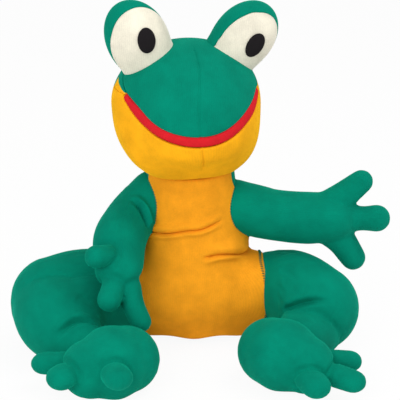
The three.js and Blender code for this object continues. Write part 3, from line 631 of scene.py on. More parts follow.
def finish_skin(piece, fabric, body, replaced, levels=0):
    """Dresses a piece: fabric, body, the nodes it stands for, which are hidden, and levels of subdivision."""
    piece.data.materials.clear()
    piece.data.materials.append(fabric)
    if levels:
        finer = piece.modifiers.new("finer", "SUBSURF")
        finer.levels = finer.render_levels = levels
    if isinstance(body, str):
        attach(piece, body)
    else:
        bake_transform(piece)
    if replaced:
        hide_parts(*replaced)
    return piece


def sewn_sheet(piece):
    """Reads the area of each face of a piece into a local array, and keeps nothing."""
    area = np.zeros(len(piece.data.polygons), np.float32)
    piece.data.polygons.foreach_get("area", area)


# Materials


def add(tree, kind, settings=None, **links):
    """Adds a node, sets its properties and sockets, and links the sockets that are given as outputs."""
    node = tree.nodes.new(kind)
    for key, value in (settings or {}).items():
        setattr(node, key, value)
    for key, value in links.items():
        name = key.replace("_", " ")
        socket = node.inputs[int(key[1:])] if key[0] == "i" and key[1:].isdigit() else node.inputs[name]
        if isinstance(value, bpy.types.NodeSocket):
            tree.links.new(value, socket)
        else:
            socket.default_value = value
    return node


def shade(colour, share):
    """A dye made darker or paler by one share in all channels."""
    return [min(1.0, c * share) for c in list(colour)[:3]] + [1.0]


def maths(tree, operation, *inputs):
    """A value worked out from outputs or numbers."""
    links = {f"i{index}": value for index, value in enumerate(inputs)}
    return add(tree, "ShaderNodeMath", {"operation": operation}, **links).outputs[0]


def noise(tree, size, **more):
    """Cloudy values in the object's own space, with features of a size in metres."""
    place = add(tree, "ShaderNodeTexCoord").outputs["Object"]
    return add(tree, "ShaderNodeTexNoise", Vector=place, Scale=1 / size, **more).outputs["Fac"]


def new_tree(holder):
    """The empty node tree of a material or a world."""
    holder.use_nodes = True
    holder.node_tree.nodes.clear()
    return holder.node_tree


def material(name, look, *values, **more):
    """A material by its name. At its first use a look fills its tree and gives the surface."""
    made = bpy.data.materials.get(name)
    if made is None:
        made = bpy.data.materials.new(name)
        tree = new_tree(made)
        add(tree, "ShaderNodeOutputMaterial", Surface=look(tree, *values, **more))
    return made


def dyed_surface(tree, colour, tone, shares, start, relief, **more):
    """A surface whose colour runs from one share of a dye to another as the tone rises from a start to 1,
    with relief by a height, a strength and a depth in metres."""
    ramp = add(tree, "ShaderNodeValToRGB", Fac=tone)
    ramp.color_ramp.elements[0].position = start
    for element, share in zip(ramp.color_ramp.elements, shares):
        element.color = shade(colour, share)
    height, strength, depth = relief
    bump = add(tree, "ShaderNodeBump", Height=height, Strength=strength, Distance=depth).outputs["Normal"]
    dyed = ramp.outputs["Color"]
    return add(tree, "ShaderNodeBsdfPrincipled", Base_Color=dyed, Normal=bump, **more).outputs[0]


def plush(tree, colour):
    """Cotton velour: a short cut pile on a knitted ground. It scatters light softly, pales at grazing
    angles where the pile shows its tips, and keeps the faint ribs of the knit, drawn a little coarse so
    that they show."""
    rib_mm, rib_depth = 1.7, 0.16
    wale = add(tree, "ShaderNodeAttribute", {"attribute_name": "wale"}).outputs["Fac"]
    phase = maths(tree, "MULTIPLY_ADD", noise(tree, 0.006, Detail=2.0), 1.6, wale)
    rib = maths(tree, "SINE", maths(tree, "MULTIPLY", phase, 2 * math.pi / rib_mm))
    pile = noise(tree, 0.0011, Detail=3.0, Roughness=0.65)
    brushed = noise(tree, 0.022, Detail=3.0, Roughness=0.6)
    tone = maths(tree, "MULTIPLY_ADD", pile, 0.55, maths(tree, "MULTIPLY_ADD", rib, 0.05, brushed))
    height = maths(tree, "MULTIPLY_ADD", rib, rib_depth, pile)
    return dyed_surface(tree, colour, tone, (0.80, 1.10), 0.45, (height, 0.35, 0.0007), Roughness=0.92,
                        Sheen_Weight=0.9, Sheen_Roughness=0.35, Sheen_Tint=shade(colour, 1.6),
                        Specular_IOR_Level=0.05)


def felt(tree, colour, fibre_mm=0.9, sheen=0.12):
    """Pressed wool felt: matted fibres with no weave, matt, and a little mottled."""
    fibre = noise(tree, fibre_mm * MM, Detail=4.0, Roughness=0.7, Distortion=1.5)
    tone = maths(tree, "MULTIPLY_ADD", noise(tree, 0.009, Detail=2.0), 0.5, fibre)
    return dyed_surface(tree, colour, tone, (0.82, 1.08), 0.45, (fibre, 0.3, 0.0004), Roughness=0.9,
                        Sheen_Weight=sheen, Sheen_Roughness=0.5, Sheen_Tint=shade(colour, 1.5),
                        Specular_IOR_Level=0.08)


def woven(tree, colour):
    """Plain cotton weave: threads over and under, smooth and slightly shiny."""
    thread_mm = 0.8
    place = add(tree, "ShaderNodeTexCoord").outputs["Object"]
    scale = 0.314159 / (2 * thread_mm * MM)
    warp, weft = (
        add(tree, "ShaderNodeTexWave", {"bands_direction": way}, Vector=place, Scale=scale).outputs["Fac"]
        for way in "XZ"
    )
    weave = maths(tree, "MULTIPLY", warp, weft)
    return dyed_surface(tree, colour, weave, (0.8, 1.08), 0.0, (weave, 0.4, 0.0003), Roughness=0.75)


def seen_directly(tree):
    """1 for rays that show something to the camera, straight or by a mirror or glass, and 0 for other
    light."""
    rays = add(tree, "ShaderNodeLightPath").outputs
    straight = maths(tree, "MAXIMUM", rays["Is Camera Ray"], rays["Is Glossy Ray"])
    return maths(tree, "MAXIMUM", straight, rays["Is Transmission Ray"])


def paper(tree):
    """White backing paper: matt where it passes light on, and nearly pure white where the camera sees it,
    so that only a faint shadow is left."""
    matt = add(tree, "ShaderNodeBsdfDiffuse", Color=(0.9, 0.9, 0.9, 1)).outputs[0]
    glow = add(tree, "ShaderNodeEmission", Color=(1, 1, 1, 1), Strength=1.0).outputs[0]
    share = maths(tree, "MULTIPLY", seen_directly(tree), 0.93)
    return add(tree, "ShaderNodeMixShader", i0=share, i1=matt, i2=glow).outputs[0]


# Torso


def hip_seam(height):
    """Distance of the legs' seams from the middle: a parabola of the height, which is level above the
    hip."""
    return HIP_SEAM_X - HIP_SEAM_BOW * np.minimum(((height - HIP_AT[2] + 4) / 33) ** 2, 1.3)


def torso_section(height):
    """Half width, half depth and axis of the torso at heights, read off its smooth profile."""
    profile = curve_through(TORSO_SECTIONS, 200)
    width = np.interp(height, profile[:, 2], profile[:, 0])
    depth = np.interp(height, profile[:, 2], profile[:, 1])
    share = np.clip(height / TORSO_TOP, 0, 1.1)
    axis_x = HEAD_AT[0] * share
    axis_y = -4 + (HEAD_AT[1] + 4) * share
    return width, depth, axis_x, axis_y


def torso_reach(height, turn):
    """How far the torso's skin lies from its axis: the last crossing, along each level ray, of an oval
    section blended with the hips, which are short round bolsters cut off at the legs' seams. On the
    frog's left the belly slumps over the hip, by bell curves of the height."""
    width, depth, axis_x, axis_y = torso_section(height)
    along = np.linspace(20, 108, 177)
    cos, sin = np.cos(turn)[..., None], np.sin(turn)[..., None]
    oval = along * np.sqrt((cos / width[..., None]) ** 2 + (sin / depth[..., None]) ** 2) - 1
    oval = oval * np.minimum(width, depth)[..., None]
    x = axis_x[..., None] + along * cos
    y = axis_y[..., None] + along * sin
    z = np.broadcast_to(height[..., None], x.shape)
    beyond = np.maximum(np.abs(x) - HIP_ROUND_X, 0)
    bolster = np.sqrt(beyond**2 + (y - HIP_AT[1]) ** 2 + (z - HIP_AT[2]) ** 2) - HIP_RADIUS
    slump = sum(size * bell(z - middle, spread) for size, middle, spread in SLUMPS)
    oval = oval - slump * smoothstep(cos, 0.4, 0.9)
    both = soft_min([oval, bolster], 2.5)
    cut = np.abs(x) - hip_seam(z)
    skin = -soft_min([-both, -cut], 2.0)
    inside = skin < 0
    last = along.size - 1 - np.argmax(inside[..., ::-1], axis=-1)
    last = np.clip(last, 0, along.size - 2)
    here = np.take_along_axis(skin, last[..., None], -1)[..., 0]
    there = np.take_along_axis(skin, last[..., None] + 1, -1)[..., 0]
    share = np.clip(here / np.where(np.abs(here - there) < 1e-9, 1e-9, here - there), 0, 1)
    return along[last] + share * (along[1] - along[0])


def torso_points(height, turn, reach):
    """Points at heights and turns round the torso's axis."""
    _, _, axis_x, axis_y = torso_section(height)
    return np.stack([axis_x + reach * np.cos(turn), axis_y + reach * np.sin(turn), height], -1)


def sleeve_grid(middle, rows, columns, low):
    """Heights and turns of the front or the back of the sleeve, by its middle turn, closer together at
    hem and neck. The side seams run forwards towards the neck, so a sliver of the back shows there."""
    t = np.linspace(0, 1, rows)
    t = t - 0.6 * np.sin(2 * np.pi * t) / (2 * np.pi)
    across = np.linspace(-1, 1, columns)
    ahead = -math.copysign(1, middle)
    turn = middle + across * (np.pi / 2 + ahead * SIDE_SEAM)
    hem = low(turn)
    top = TORSO_TOP - NECK_DIP * np.clip(-np.sin(turn), 0, 1)
    height = hem[None, :] + (top - hem)[None, :] * t[:, None]
    seam = SIDE_SEAM - (SIDE_SEAM + NECK_SEAM) * smoothstep(TORSO_TOP * t, 130, 168)[:, None]
    return height, middle + across * (np.pi / 2 + ahead * seam)


def inwards(turn):
    """Level directions towards the torso's axis."""
    return np.stack([-np.cos(turn), -np.sin(turn), np.zeros_like(turn)], -1)


def fold_belly(points, turn):
    """Folds the belly's skin along its creases. Each is a groove with a soft swell on either side. The
    upper one hangs a little, and all fade out at the ends and towards the sides."""
    level = points[..., [0, 2]]
    front = smoothstep(-np.sin(turn), 0.0, 0.25)
    for path, depth, width in BELLY_CREASES:
        way = curve_through(path, 40)
        gap = np.linalg.norm(nearest_on_path(level, way)[0], axis=-1)
        over = level[..., 1] > np.interp(level[..., 0], way[:, 0], way[:, 1])
        ends = smoothstep(level[..., 0], way[0, 0] - 3, way[0, 0] + 12)
        ends = ends * (1 - smoothstep(level[..., 0], way[-1, 0] - 14, way[-1, 0] + 3))
        above = 0.45 * bell(gap - 2.6 * width, 1.9 * width)
        below = 0.55 * bell(gap - 2.4 * width, 1.6 * width)
        fold = depth * (bell(gap, width) - np.where(over, above, below)) * ends * front
        drop = np.where(over, 0.5 * depth * bell(gap - 1.2 * width, width), 0) * ends * front
        points = points + inwards(turn) * fold[..., None] - UP * drop[..., None]
    return points


class FROG_OT_sleeve(bpy.types.Operator):
    """Sews the sleeve: yellow front, green back, lining, hem tape and neck gusset."""

    bl_idname = "frog.sleeve"
    bl_label = "Sleeve"

    def execute(self, context):
        head, body, dye = context.scene.frog_head, context.scene.frog_body, context.scene.frog_colours
        wall, lift = body.wall * 1000, body.hem_lift * 1000
        yellow = material("yellow_velour", plush, dye.belly)
        green = material("green_velour", plush, dye.green)
        cotton = material("lining_cotton", woven, dye.lining)

        def hem(turn):
            front = np.clip(-np.sin(turn), 0, 1)
            return 0.4 + lift * front * (0.75 + 0.25 * np.sin(5.3 * turn + 0.6))

        halves = []
        for name, middle, columns in (("belly_plush", -math.pi / 2, 190), ("back_plush", math.pi / 2, 130)):
            height, turn = sleeve_grid(middle, 230, columns, hem)
            reach = torso_reach(height, turn)
            points = torso_points(height, turn, reach)
            if name == "belly_plush":
                points = fold_belly(points, turn)
            inside = np.minimum(np.arange(columns), np.arange(columns)[::-1])
            hold = np.broadcast_to(0.3 + 0.7 * smoothstep(inside, 2, 8), turn.shape)
            halves.append(panel(name, points, inwards(turn), wall, ALL_EDGES, roll=3.5,
                                wale=turn * reach.mean(), hold=hold))
        front, back = halves
        finish_skin(front, yellow, "torso", ["belly_panel"])
        finish_skin(back, green, "torso", ["back_panel"])

        around = np.linspace(0, 2 * np.pi, 120, endpoint=False)
        edge = hem(around)
        for name, low, high, rows, node in (
            ("sleeve_lining_cotton", edge + 13.2, LINING_TOP + 0 * edge, 60, "sleeve_lining"),
            ("hem_tape_cotton", edge + 1.4, edge + 12.8, 8, "hem_tape"),
        ):
            height = low + (high - low) * np.linspace(0, 1, rows)[:, None]
            turn = np.broadcast_to(around, height.shape)
            width, depth, _, _ = torso_section(height)
            oval = 1 / np.sqrt((np.cos(turn) / width) ** 2 + (np.sin(turn) / depth) ** 2)
            points = torso_points(height, turn, oval - wall - LINING_GAP)
            cloth = panel(name, points, inwards(turn), body.lining * 1000, ROW_EDGES, wrap=True)
            finish_skin(cloth, cotton, "torso", [node])
            sewn_sheet(cloth)

        ball = head.radius * 1000
        low = math.asin((head.neck_hole * 1000 + 1) / ball)
        high = math.asin(GUSSET_RADIUS / (ball + 3)) + GUSSET_TONGUE * smoothstep(-np.sin(around), 0, 0.7)
        polar = low + (high - low) * np.linspace(0, 1, 16)[:, None]
        out = np.sin(polar)
        spread = np.stack([out * np.cos(around), out * np.sin(around), -np.cos(polar)], -1)
        points = HEAD_AT + spread * (ball + GUSSET_LIFT)
        gusset = panel("neck_gusset", points, -spread, GUSSET_WALL, ROW_EDGES, wrap=True,
                       wale=np.broadcast_to(around * 40, polar.shape))
        finish_skin(gusset, yellow, "neck", ["neck_band"])
        return {"FINISHED"}


# Head


def head_reach(direction):
    """How far the head's skin lies from its centre: a ball, plus a muzzle that is a power of the cosine
    to the muzzle's direction and fades out at the throat, less a flattening that grows with the square of
    height."""
    head = bpy.context.scene.frog_head
    muzzle = np.array([0, -math.cos(math.radians(6)), -math.sin(math.radians(6))])
    towards = np.clip(direction @ muzzle, 0, None) ** 6
    throat = smoothstep(direction[..., 2], -0.75, -0.35)
    top = np.clip(direction[..., 2], 0, None) ** 2
    return 1000 * (head.radius + head.muzzle * throat * towards - head.flattening * top)


def from_head(points):
    """Points of the head's own frame in the puppet's frame. The stuffing sits a little to the frog's
    right, most at the cheeks, by a bell curve of the height, and more at the muzzle, which is also
    broader than in the solids."""
    front = smoothstep(-points[..., 1:2], 42, 88)
    sway = -(SWAY + SWAY_FRONT * front) * bell(points[..., 2:] - 5, 45)
    broader = points * (1 + MUZZLE_BROADER * front * ACROSS)
    return broader @ HEAD_TURN.T + HEAD_AT + sway * ACROSS


def head_panel_grid(pole, over, first, room, rows, columns=220):
    """Directions from a first polar angle to the angle at which the skin leaves its room, for each turn.
    The room is a function that is positive inside. The turns are closer together at the front, where the
    seam of the face is."""
    turn = np.linspace(0, 2 * np.pi, columns, endpoint=False)
    turn = turn - 0.65 * np.cos(turn)
    level = np.cos(turn)[:, None] * ACROSS + np.sin(turn)[:, None] * over

    def heading(polar):
        return np.cos(polar)[..., None] * pole + np.sin(polar)[..., None] * level

    def inside(polar):
        direction = heading(polar)
        return room(direction * head_reach(direction)[:, None]) > 0

    last = halved(inside, np.full(columns, first), np.full(columns, 2.7), 40)
    share = 1 - (1 - np.linspace(0, 1, rows)) ** 1.35
    polar = first + (last - first)[None, :] * share[:, None]
    return heading(polar), np.broadcast_to(turn, polar.shape)


def centre_seam(points, depth, width, front):
    """Depth of the seam down the middle of the face, on the front only."""
    return depth * bell(points[..., 0], width) * smoothstep(-points[..., 1], *front)


def lip_depth(forward):
    """Height of the lip, which thins towards the corners of the mouth, by distance in front of the fold."""
    thick = 1000 * bpy.context.scene.frog_head.lip * (0.55 + 0.45 * smoothstep(forward, 0, 30))
    return thick * smoothstep(forward, -7, -1)


class FROG_OT_head(bpy.types.Operator):
    """Sews the crown with its muzzle, the chin and the soft nape between them."""

    bl_idname = "frog.head"
    bl_label = "Head"

    def execute(self, context):
        head, dye = context.scene.frog_head, context.scene.frog_colours
        wall = head.wall * 1000
        green = material("green_velour", plush, dye.green)
        yellow = material("chin_velour", plush, dye.chin)

        def above(points):
            return soft_min([(points - FOLD) @ MOUTH_UP - 0.4, (points - FOLD) @ NAPE_UP - 0.4], 1.0)

        direction, _ = head_panel_grid(MOUTH_UP, -MOUTH_FORWARD, 0.02, above, 120)
        skin = direction * head_reach(direction)[..., None]
        skin = skin - direction * centre_seam(skin, *CROWN_SEAM)[..., None]
        hold = 0.35 + 0.65 * smoothstep((skin - FOLD) @ MOUTH_FORWARD, -2, 6)
        top = from_head(MOUTH_UP * head_reach(MOUTH_UP))
        crown = panel("crown_plush", from_head(skin), -direction @ HEAD_TURN.T, wall, ("last_row",),
                      wrap=True, apex=top, roll=3.5, wale=skin[..., 0], hold=hold)
        finish_skin(crown, green, "upper_head", ["crown_cover", "crown_padding"])

        def below(points):
            depth = lip_depth((points - FOLD) @ MOUTH_FORWARD)
            return soft_min([-(points - FOLD) @ MOUTH_UP - depth - 0.1, FOLD[2] - points[..., 2]], 0.7)

        first = math.asin(head.neck_hole / head.radius)
        direction, turn = head_panel_grid(-UP, np.array([0, 1.0, 0]), first, below, 100)
        polar = np.degrees(np.arccos(-direction[..., 2]))
        ahead = smoothstep(-direction[..., 1], 0, 0.5)
        sag = CHIN_SAG + CHIN_SAG_FRONT * ahead - CHIN_SAG_RIGHT * np.clip(direction[..., 0], -1, 0)
        sag = sag * smoothstep(polar, 28, 40) * (1 - smoothstep(polar, 46, 88))
        skin = direction * (head_reach(direction) + sag)[..., None]
        seam = centre_seam(skin, *CHIN_SEAM) * smoothstep(skin[..., 2], -52, -40)
        skin = skin - direction * seam[..., None]
        hold = np.where(polar > 60, 0.4 * smoothstep((skin - FOLD) @ MOUTH_FORWARD, 0, 10), 1)
        chin = panel("chin_plush", from_head(skin), -direction @ HEAD_TURN.T, wall, ROW_EDGES, wrap=True,
                     roll=2.4, wale=turn * 60, hold=hold)
        finish_skin(chin, yellow, "jaw", ["chin_cover", "chin_padding"])

        turn = np.linspace(math.radians(-22), math.radians(202), 150)
        level = np.stack([np.cos(turn), np.sin(turn), 0 * turn], -1)

        def raised(lift):
            return level * np.cos(lift)[..., None] + UP * np.sin(lift)[..., None]

        def edge(room):
            def under(lift):
                direction = raised(lift)
                return room(direction * head_reach(direction)[:, None]) < 0

            return halved(under, np.zeros(turn.size), np.full(turn.size, 1.5), 40)

        bottom = edge(lambda p: p[..., 2] - FOLD[2] - 0.3)
        ceiling = np.maximum(edge(lambda p: (p - FOLD) @ NAPE_UP + 0.3), bottom + 0.01)
        lift = bottom + (ceiling - bottom) * np.linspace(0, 1, 40)[:, None]
        direction = raised(lift)
        skin = direction * head_reach(direction)[..., None]
        nape = panel("nape_plush", from_head(skin), -direction @ HEAD_TURN.T, wall, ALL_EDGES, roll=3.0,
                     wale=np.broadcast_to(turn * 70, lift.shape), hold=0.3)
        start = joint_at("mouth_hinge") * MM + HEAD_TURN @ np.array([0, 0.09, 0.0])
        end = start + HEAD_TURN @ np.array([0, -math.sin(NAPE_SLOPE / 2), math.cos(NAPE_SLOPE / 2)]) * 0.045
        finish_skin(nape, green, ("jaw", "upper_head", start.tolist(), end.tolist()), ["nape_panel"])

        # Beside the corners of the mouth the lower half of the nape is cut from the chin's cloth
        nape.data.materials.append(yellow)
        middles = np.zeros(len(nape.data.polygons) * 3, np.float32)
        nape.data.polygons.foreach_get("center", middles)
        middles = (middles.reshape(-1, 3) * 1000 - PUPPET - HEAD_AT) @ HEAD_TURN - FOLD
        cheek = (middles[:, 1] < CHEEK_BACK) & (middles[:, 2] < 0.5 * middles[:, 1] * math.tan(NAPE_SLOPE))
        nape.data.polygons.foreach_set("material_index", cheek.astype(np.int32))
        return {"FINISHED"}


def mouth_pad(name, floor, top, inset, back):
    """A flat pad in the mouth's plane, from a floor that varies with the distance in front of the fold to
    a flat top. At each height its outline is the head's skin less an inset, found by halving, and cut off
    at the fold with rounded corners. Its rim is a flat half round."""
    sides, middle, rim = 200, 26.0, 2.4
    turn = np.linspace(0, 2 * np.pi, sides, endpoint=False)
    ray = np.cos(turn)[:, None] * ACROSS + np.sin(turn)[:, None] * MOUTH_FORWARD
    centre = FOLD + MOUTH_FORWARD * middle
    shares = np.linspace(0.06, 1, 16)
    flat = np.zeros(shares.size)
    lean = np.radians(np.linspace(90, -90, 15))[1:-1]
    rise = np.concatenate([flat + 1, np.sin(lean), flat - 1])[:, None]
    fullness = np.concatenate([shares, np.ones(lean.size), shares[::-1]])[:, None]
    tuck = rim * np.concatenate([flat, np.cos(lean) ** 0.7, flat])[:, None] - rim
    fold = np.where(np.sin(turn) < -0.02, (middle - back) / np.maximum(-np.sin(turn), 0.02), 500)
    radius = np.full((rise.size, sides), 40.0)
    for _ in range(3):
        low = floor(middle + radius * np.sin(turn))
        level = centre + MOUTH_UP * ((top + low) / 2 + rise * (top - low) / 2)[..., None]

        def inside(reach):
            spot = level + ray * reach[..., None]
            return np.linalg.norm(spot, axis=-1) < head_reach(unit(spot))

        near = halved(inside, np.zeros_like(radius), np.full_like(radius, 130.0), 24)
        radius = (soft_min([near - inset, fold + 0 * near], 1.5) + tuck) * fullness
    points = level + ray * radius[..., None]
    poles = centre + MOUTH_UP * np.array([[top], [floor(np.array(middle))]])
    points = np.vstack([poles, points.reshape(-1, 3)])
    return new_piece(name, from_head(points), capped_faces(rise.size, sides))


def finger_pocket(name, width, height, depth, floor):
    """A cloth pocket with a stadium section, open behind the fold and closed by a rounded end at the
    front."""
    turn = np.linspace(0, 2 * np.pi, 72, endpoint=False)
    half, straight = height / 2, (width - height) / 2
    section_x = half * np.cos(turn) + straight * np.tanh(6 * np.cos(turn))
    section_z = half * np.sin(turn)
    run = np.linspace(1, 0, 30)[:, None] * (depth + POCKET_BEHIND)
    taper = np.sqrt(np.clip(1 - np.clip((run - depth + 4) / 12.5, 0, 1) ** 2, 0.01, 1))
    axis = FOLD + MOUTH_UP * (floor + half)
    centre = axis + MOUTH_FORWARD * (run - POCKET_BEHIND + 0 * turn)[..., None]
    local = centre + ACROSS * (section_x * taper)[..., None] + MOUTH_UP * (section_z * taper)[..., None]
    room = head_reach(unit(local)) - POCKET_ROOM
    local = local * np.minimum(1, room / np.linalg.norm(local, axis=-1))[..., None]
    inward = unit(centre - local) @ HEAD_TURN.T
    end = from_head(axis + MOUTH_FORWARD * depth)
    return panel(name, from_head(local), inward, POCKET_CLOTH, ("last_row",), wrap=True, apex=end)


class FROG_OT_mouth(bpy.types.Operator):
    """Sews the red mouth, whose edge is the lip, with the palate, the fold and the pockets behind it."""

    bl_idname = "frog.mouth"
    bl_label = "Mouth"

    def execute(self, context):
        head, dye = context.scene.frog_head, context.scene.frog_colours
        lip = head.lip * 1000
        red = material("red_felt", felt, dye.red)
        lower = mouth_pad("lower_mouth_felt", lambda forward: -lip_depth(forward), -0.2, 0.0, -4.0)
        finish_skin(lower, red, "jaw", ["lower_mouth_lining"])
        palate = mouth_pad("palate_felt", lambda forward: 0.25 + 0 * forward, 3.4, 9.0, 2.0)
        finish_skin(palate, red, "upper_head", ["upper_mouth_lining"])
        span = math.sqrt((head.radius * 1000 - 11) ** 2 - FOLD[1] ** 2 - FOLD[2] ** 2)
        points, faces = tube([[x, FOLD[1], FOLD[2], FOLD_TAPE] for x in (-span, 0, span)], 16)
        tape = new_piece("mouth_fold_felt", from_head(points), faces)
        finish_skin(tape, red, "jaw", ["mouth_fold_tape"])
        cotton = material("lining_cotton", woven, dye.lining)
        for node, width, height, depth, floor, body, pad in (
            ("finger_pocket", 74, 26, 32, 7.5, "upper_head", palate),
            ("thumb_pocket", 36, 24, 29, -lip - 28.5, "jaw", lower),
        ):
            pocket = finger_pocket(node + "_cotton", width, height, depth, floor)
            finish_skin(pocket, cotton, body, [node])
            sewn_sheet(pocket)
        card = material("grey_card", felt, dye.card, 0.5, 0.0)
        for node in ("upper_mouth_board", "lower_mouth_board"):
            frame["nodes"][node].data.materials.clear()
            frame["nodes"][node].data.materials.append(card)
        return {"FINISHED"}


def heading(yaw, pitch):
    """A direction turned from straight ahead by a yaw to the frog's left and a pitch upwards, in
    degrees."""
    yaw, pitch = math.radians(yaw), math.radians(pitch)
    return np.array([math.sin(yaw) * math.cos(pitch), -math.cos(yaw) * math.cos(pitch), math.sin(pitch)])


def lobe_reach(start, direction, half, lean):
    """Distance from a point inside a leaning egg to its skin: the positive root of a quadratic in the
    egg's axes, which are the columns of lean."""
    p, d = (start @ lean) / half, (direction @ lean) / half
    a, b, c = (d * d).sum(-1), (p * d).sum(-1), (p * p).sum(-1) - 1
    return (-b + np.sqrt(np.maximum(b * b - a * c, 0))) / a


class FROG_OT_eyes(bpy.types.Operator):
    """Sews each eye: a green hood and a white front, both stuffed, and a felt pupil."""

    bl_idname = "frog.eyes"
    bl_label = "Eyes"

    def execute(self, context):
        head, dye = context.scene.frog_head, context.scene.frog_colours
        half = np.array(head.eye) * 1000
        white = material("white_velour", plush, dye.white)
        green = material("green_velour", plush, dye.green)
        black = material("black_wool_felt", felt, dye.black, sheen=0.0)
        for side, sign in SIDES.items():
            eye = EYES[side]
            at = np.array(eye["at"], float)
            tip = math.radians(sign * eye["lean"])
            cos, sin = math.cos(tip), math.sin(tip)
            lean = np.array([[cos, 0, sin], [0, 1, 0], [-sin, 0, cos]])
            front = heading(*eye["hood"])
            for layer, facing, fabric, slot, inner in (
                ("eye_white", front, white, "white_plush", []),
                ("eye_hood", -front, green, "green_plush", ["eye_filling_" + side]),
            ):
                start = front * eye["forward"] + facing * EYE_STEP
                directions, faces = ball_grid(90, 120, facing)
                egg = lobe_reach(start, directions, half, lean)
                spots = at + start + directions * egg[:, None]
                height = np.linalg.norm(spots, axis=1) - head_reach(unit(spots))
                egg = egg + EYE_FLARE[0] * np.exp(-np.maximum(height, 0) / EYE_FLARE[1])
                slope = np.minimum(directions @ facing, -1e-4)
                seam = np.where(directions @ facing < -1e-3, (EYE_SEAM - EYE_STEP) / slope, 500)
                points = at + start + directions * soft_min([egg, seam], 0.9)[:, None]
                piece = new_piece(f"{layer}_plush_{side}", from_head(points), faces, points[:, 0])
                finish_skin(piece, fabric, "upper_head", [f"{layer}_{side}", *inner])

            look = heading(*eye["gaze"])
            across = unit(np.cross(UP, look))
            upward = np.cross(look, across)
            tilt = math.radians(eye["tilt"])
            long_way = across * math.sin(tilt) + upward * math.cos(tilt)
            short_way = across * math.cos(tilt) - upward * math.sin(tilt)
            width, thick, height = np.array(head.pupil) * 1000
            sides = 72
            turn = np.linspace(0, 2 * np.pi, sides, endpoint=False)
            roll = np.radians(np.linspace(90, -60, 12))[1:]
            share = np.concatenate([np.linspace(0.08, 0.86, 10), 0.86 + 0.14 * np.cos(roll)])
            rise = np.concatenate([np.ones(10), np.sin(roll)])
            spread = np.cos(turn)[:, None] * short_way * width + np.sin(turn)[:, None] * long_way * height
            rays = unit(spread * share[:, None, None] + look * half[1])
            depth = lobe_reach(np.zeros(3), rays, half, lean) + PUPIL_LIFT + thick * 0.5 * (1 + rise)[:, None]
            middle = lobe_reach(np.zeros(3), look, half, lean)
            poles = at + look * np.array([[middle + PUPIL_LIFT + thick], [middle - 0.6]])
            points = np.vstack([poles, (at + rays * depth[..., None]).reshape(-1, 3)])
            pupil = new_piece("pupil_felt_" + side, from_head(points), capped_faces(share.size, sides))
            finish_skin(pupil, black, "upper_head", ["pupil_" + side])
        return {"FINISHED"}


# Limbs


class FROG_OT_limbs(bpy.types.Operator):
    """Stuffs the arms and the legs."""

    bl_idname = "frog.limbs"
    bl_label = "Limbs"

    def execute(self, context):
        dye = context.scene.frog_colours
        green = material("green_velour", plush, dye.green)
        made = []
        for side, sign in SIDES.items():
            for kind, joint, runs, more in (
                ("arm", "shoulder_", ARMS[side], {}),
                ("leg", "hip_", LEGS[side]["leg"], {"sewn": (sign, 0, 0)}),
                ("foot", "knee_", LEGS[side]["foot"], {"squat": TOE_SQUAT}),
            ):
                at = joint_at(joint + side) - PUPPET
                made.append((fused_limb(f"{kind}_plush_{side}", runs, at, **more), kind, side, runs, at))

        pins = []
        for piece, kind, _, runs, at in made:
            away = points_of(piece) - at - np.array(runs[0][0][:3], float)
            distance = np.abs(away[:, 0]) if kind == "leg" else np.linalg.norm(away, axis=1)
            pins.append(distance < PINNED[kind])
        stuff([piece for piece, *_ in made], pins)

        for piece, kind, side, runs, at in made:
            points = points_of(piece)
            points[:, 2] = np.maximum(points[:, 2], FLOOR_GAP + FLOOR_GIVE * (points[:, 2] - FLOOR_GAP))
            set_points(piece, points)
            if kind != "leg":
                draw_in(piece, runs, at, DRAWN_IN[piece.name], TOE_SQUAT if kind == "foot" else 1.0)
            for path, depth, width, lips, fade in LIMB_CREASES.get(piece.name, ()):
                press(piece, curve_through(path, 24), depth, width, lips, fade)
            set_wale(piece.data, rib_coordinate(points - at, runs))
            how, parts = "lower_leg_" + side, ["foot"]
            if kind == "arm":
                start, end = joint_at("shoulder_" + side) * MM + ARM_BLENDS[side] * MM
                how, parts = ("torso", "arm_" + side, start.tolist(), end.tolist()), ["arm"]
            elif kind == "leg":
                knee = joint_at("knee_" + side) * MM
                how = ("thigh_" + side, how, knee.tolist(), (knee + KNEE_BLEND * MM).tolist())
                parts = ["thigh", "shin"]
            nodes = [f"{part}_{side}_{layer}" for part in parts for layer in ("skin", "filling")]
            if kind == "arm":
                nodes.append("armhole_collar_" + side)
            finish_skin(piece, green, how, nodes, levels=1)
        return {"FINISHED"}


def seam_round(piece, sign):
    """The closed line on which an arm's skin crosses the sleeve's: mesh edges whose ends lie on both
    sides of the sleeve, cut where the depth is zero, in order of the angle round the arm's root."""
    points = points_of(piece)
    ends = np.zeros(len(piece.data.edges) * 2, np.int32)
    piece.data.edges.foreach_get("vertices", ends)
    ends = ends.reshape(-1, 2)
    height = np.clip(points[:, 2], 20, TORSO_TOP - 1)
    _, _, axis_x, axis_y = torso_section(height)
    away = points[:, :2] - np.stack([axis_x, axis_y], 1)
    depth = np.linalg.norm(away, axis=1) - torso_reach(height, np.arctan2(away[:, 1], away[:, 0]))
    near = depth[ends]
    ends = ends[(near[:, 0] * near[:, 1] < 0) & (np.abs(points[ends[:, 0], 0] * sign - 40) < 40)]
    share = depth[ends[:, 0]] / (depth[ends[:, 0]] - depth[ends[:, 1]])
    line = points[ends[:, 0]] + (points[ends[:, 1]] - points[ends[:, 0]]) * share[:, None]
    middle = line.mean(0)
    return line[np.argsort(np.arctan2(line[:, 2] - middle[2], line[:, 1] - middle[1]))]


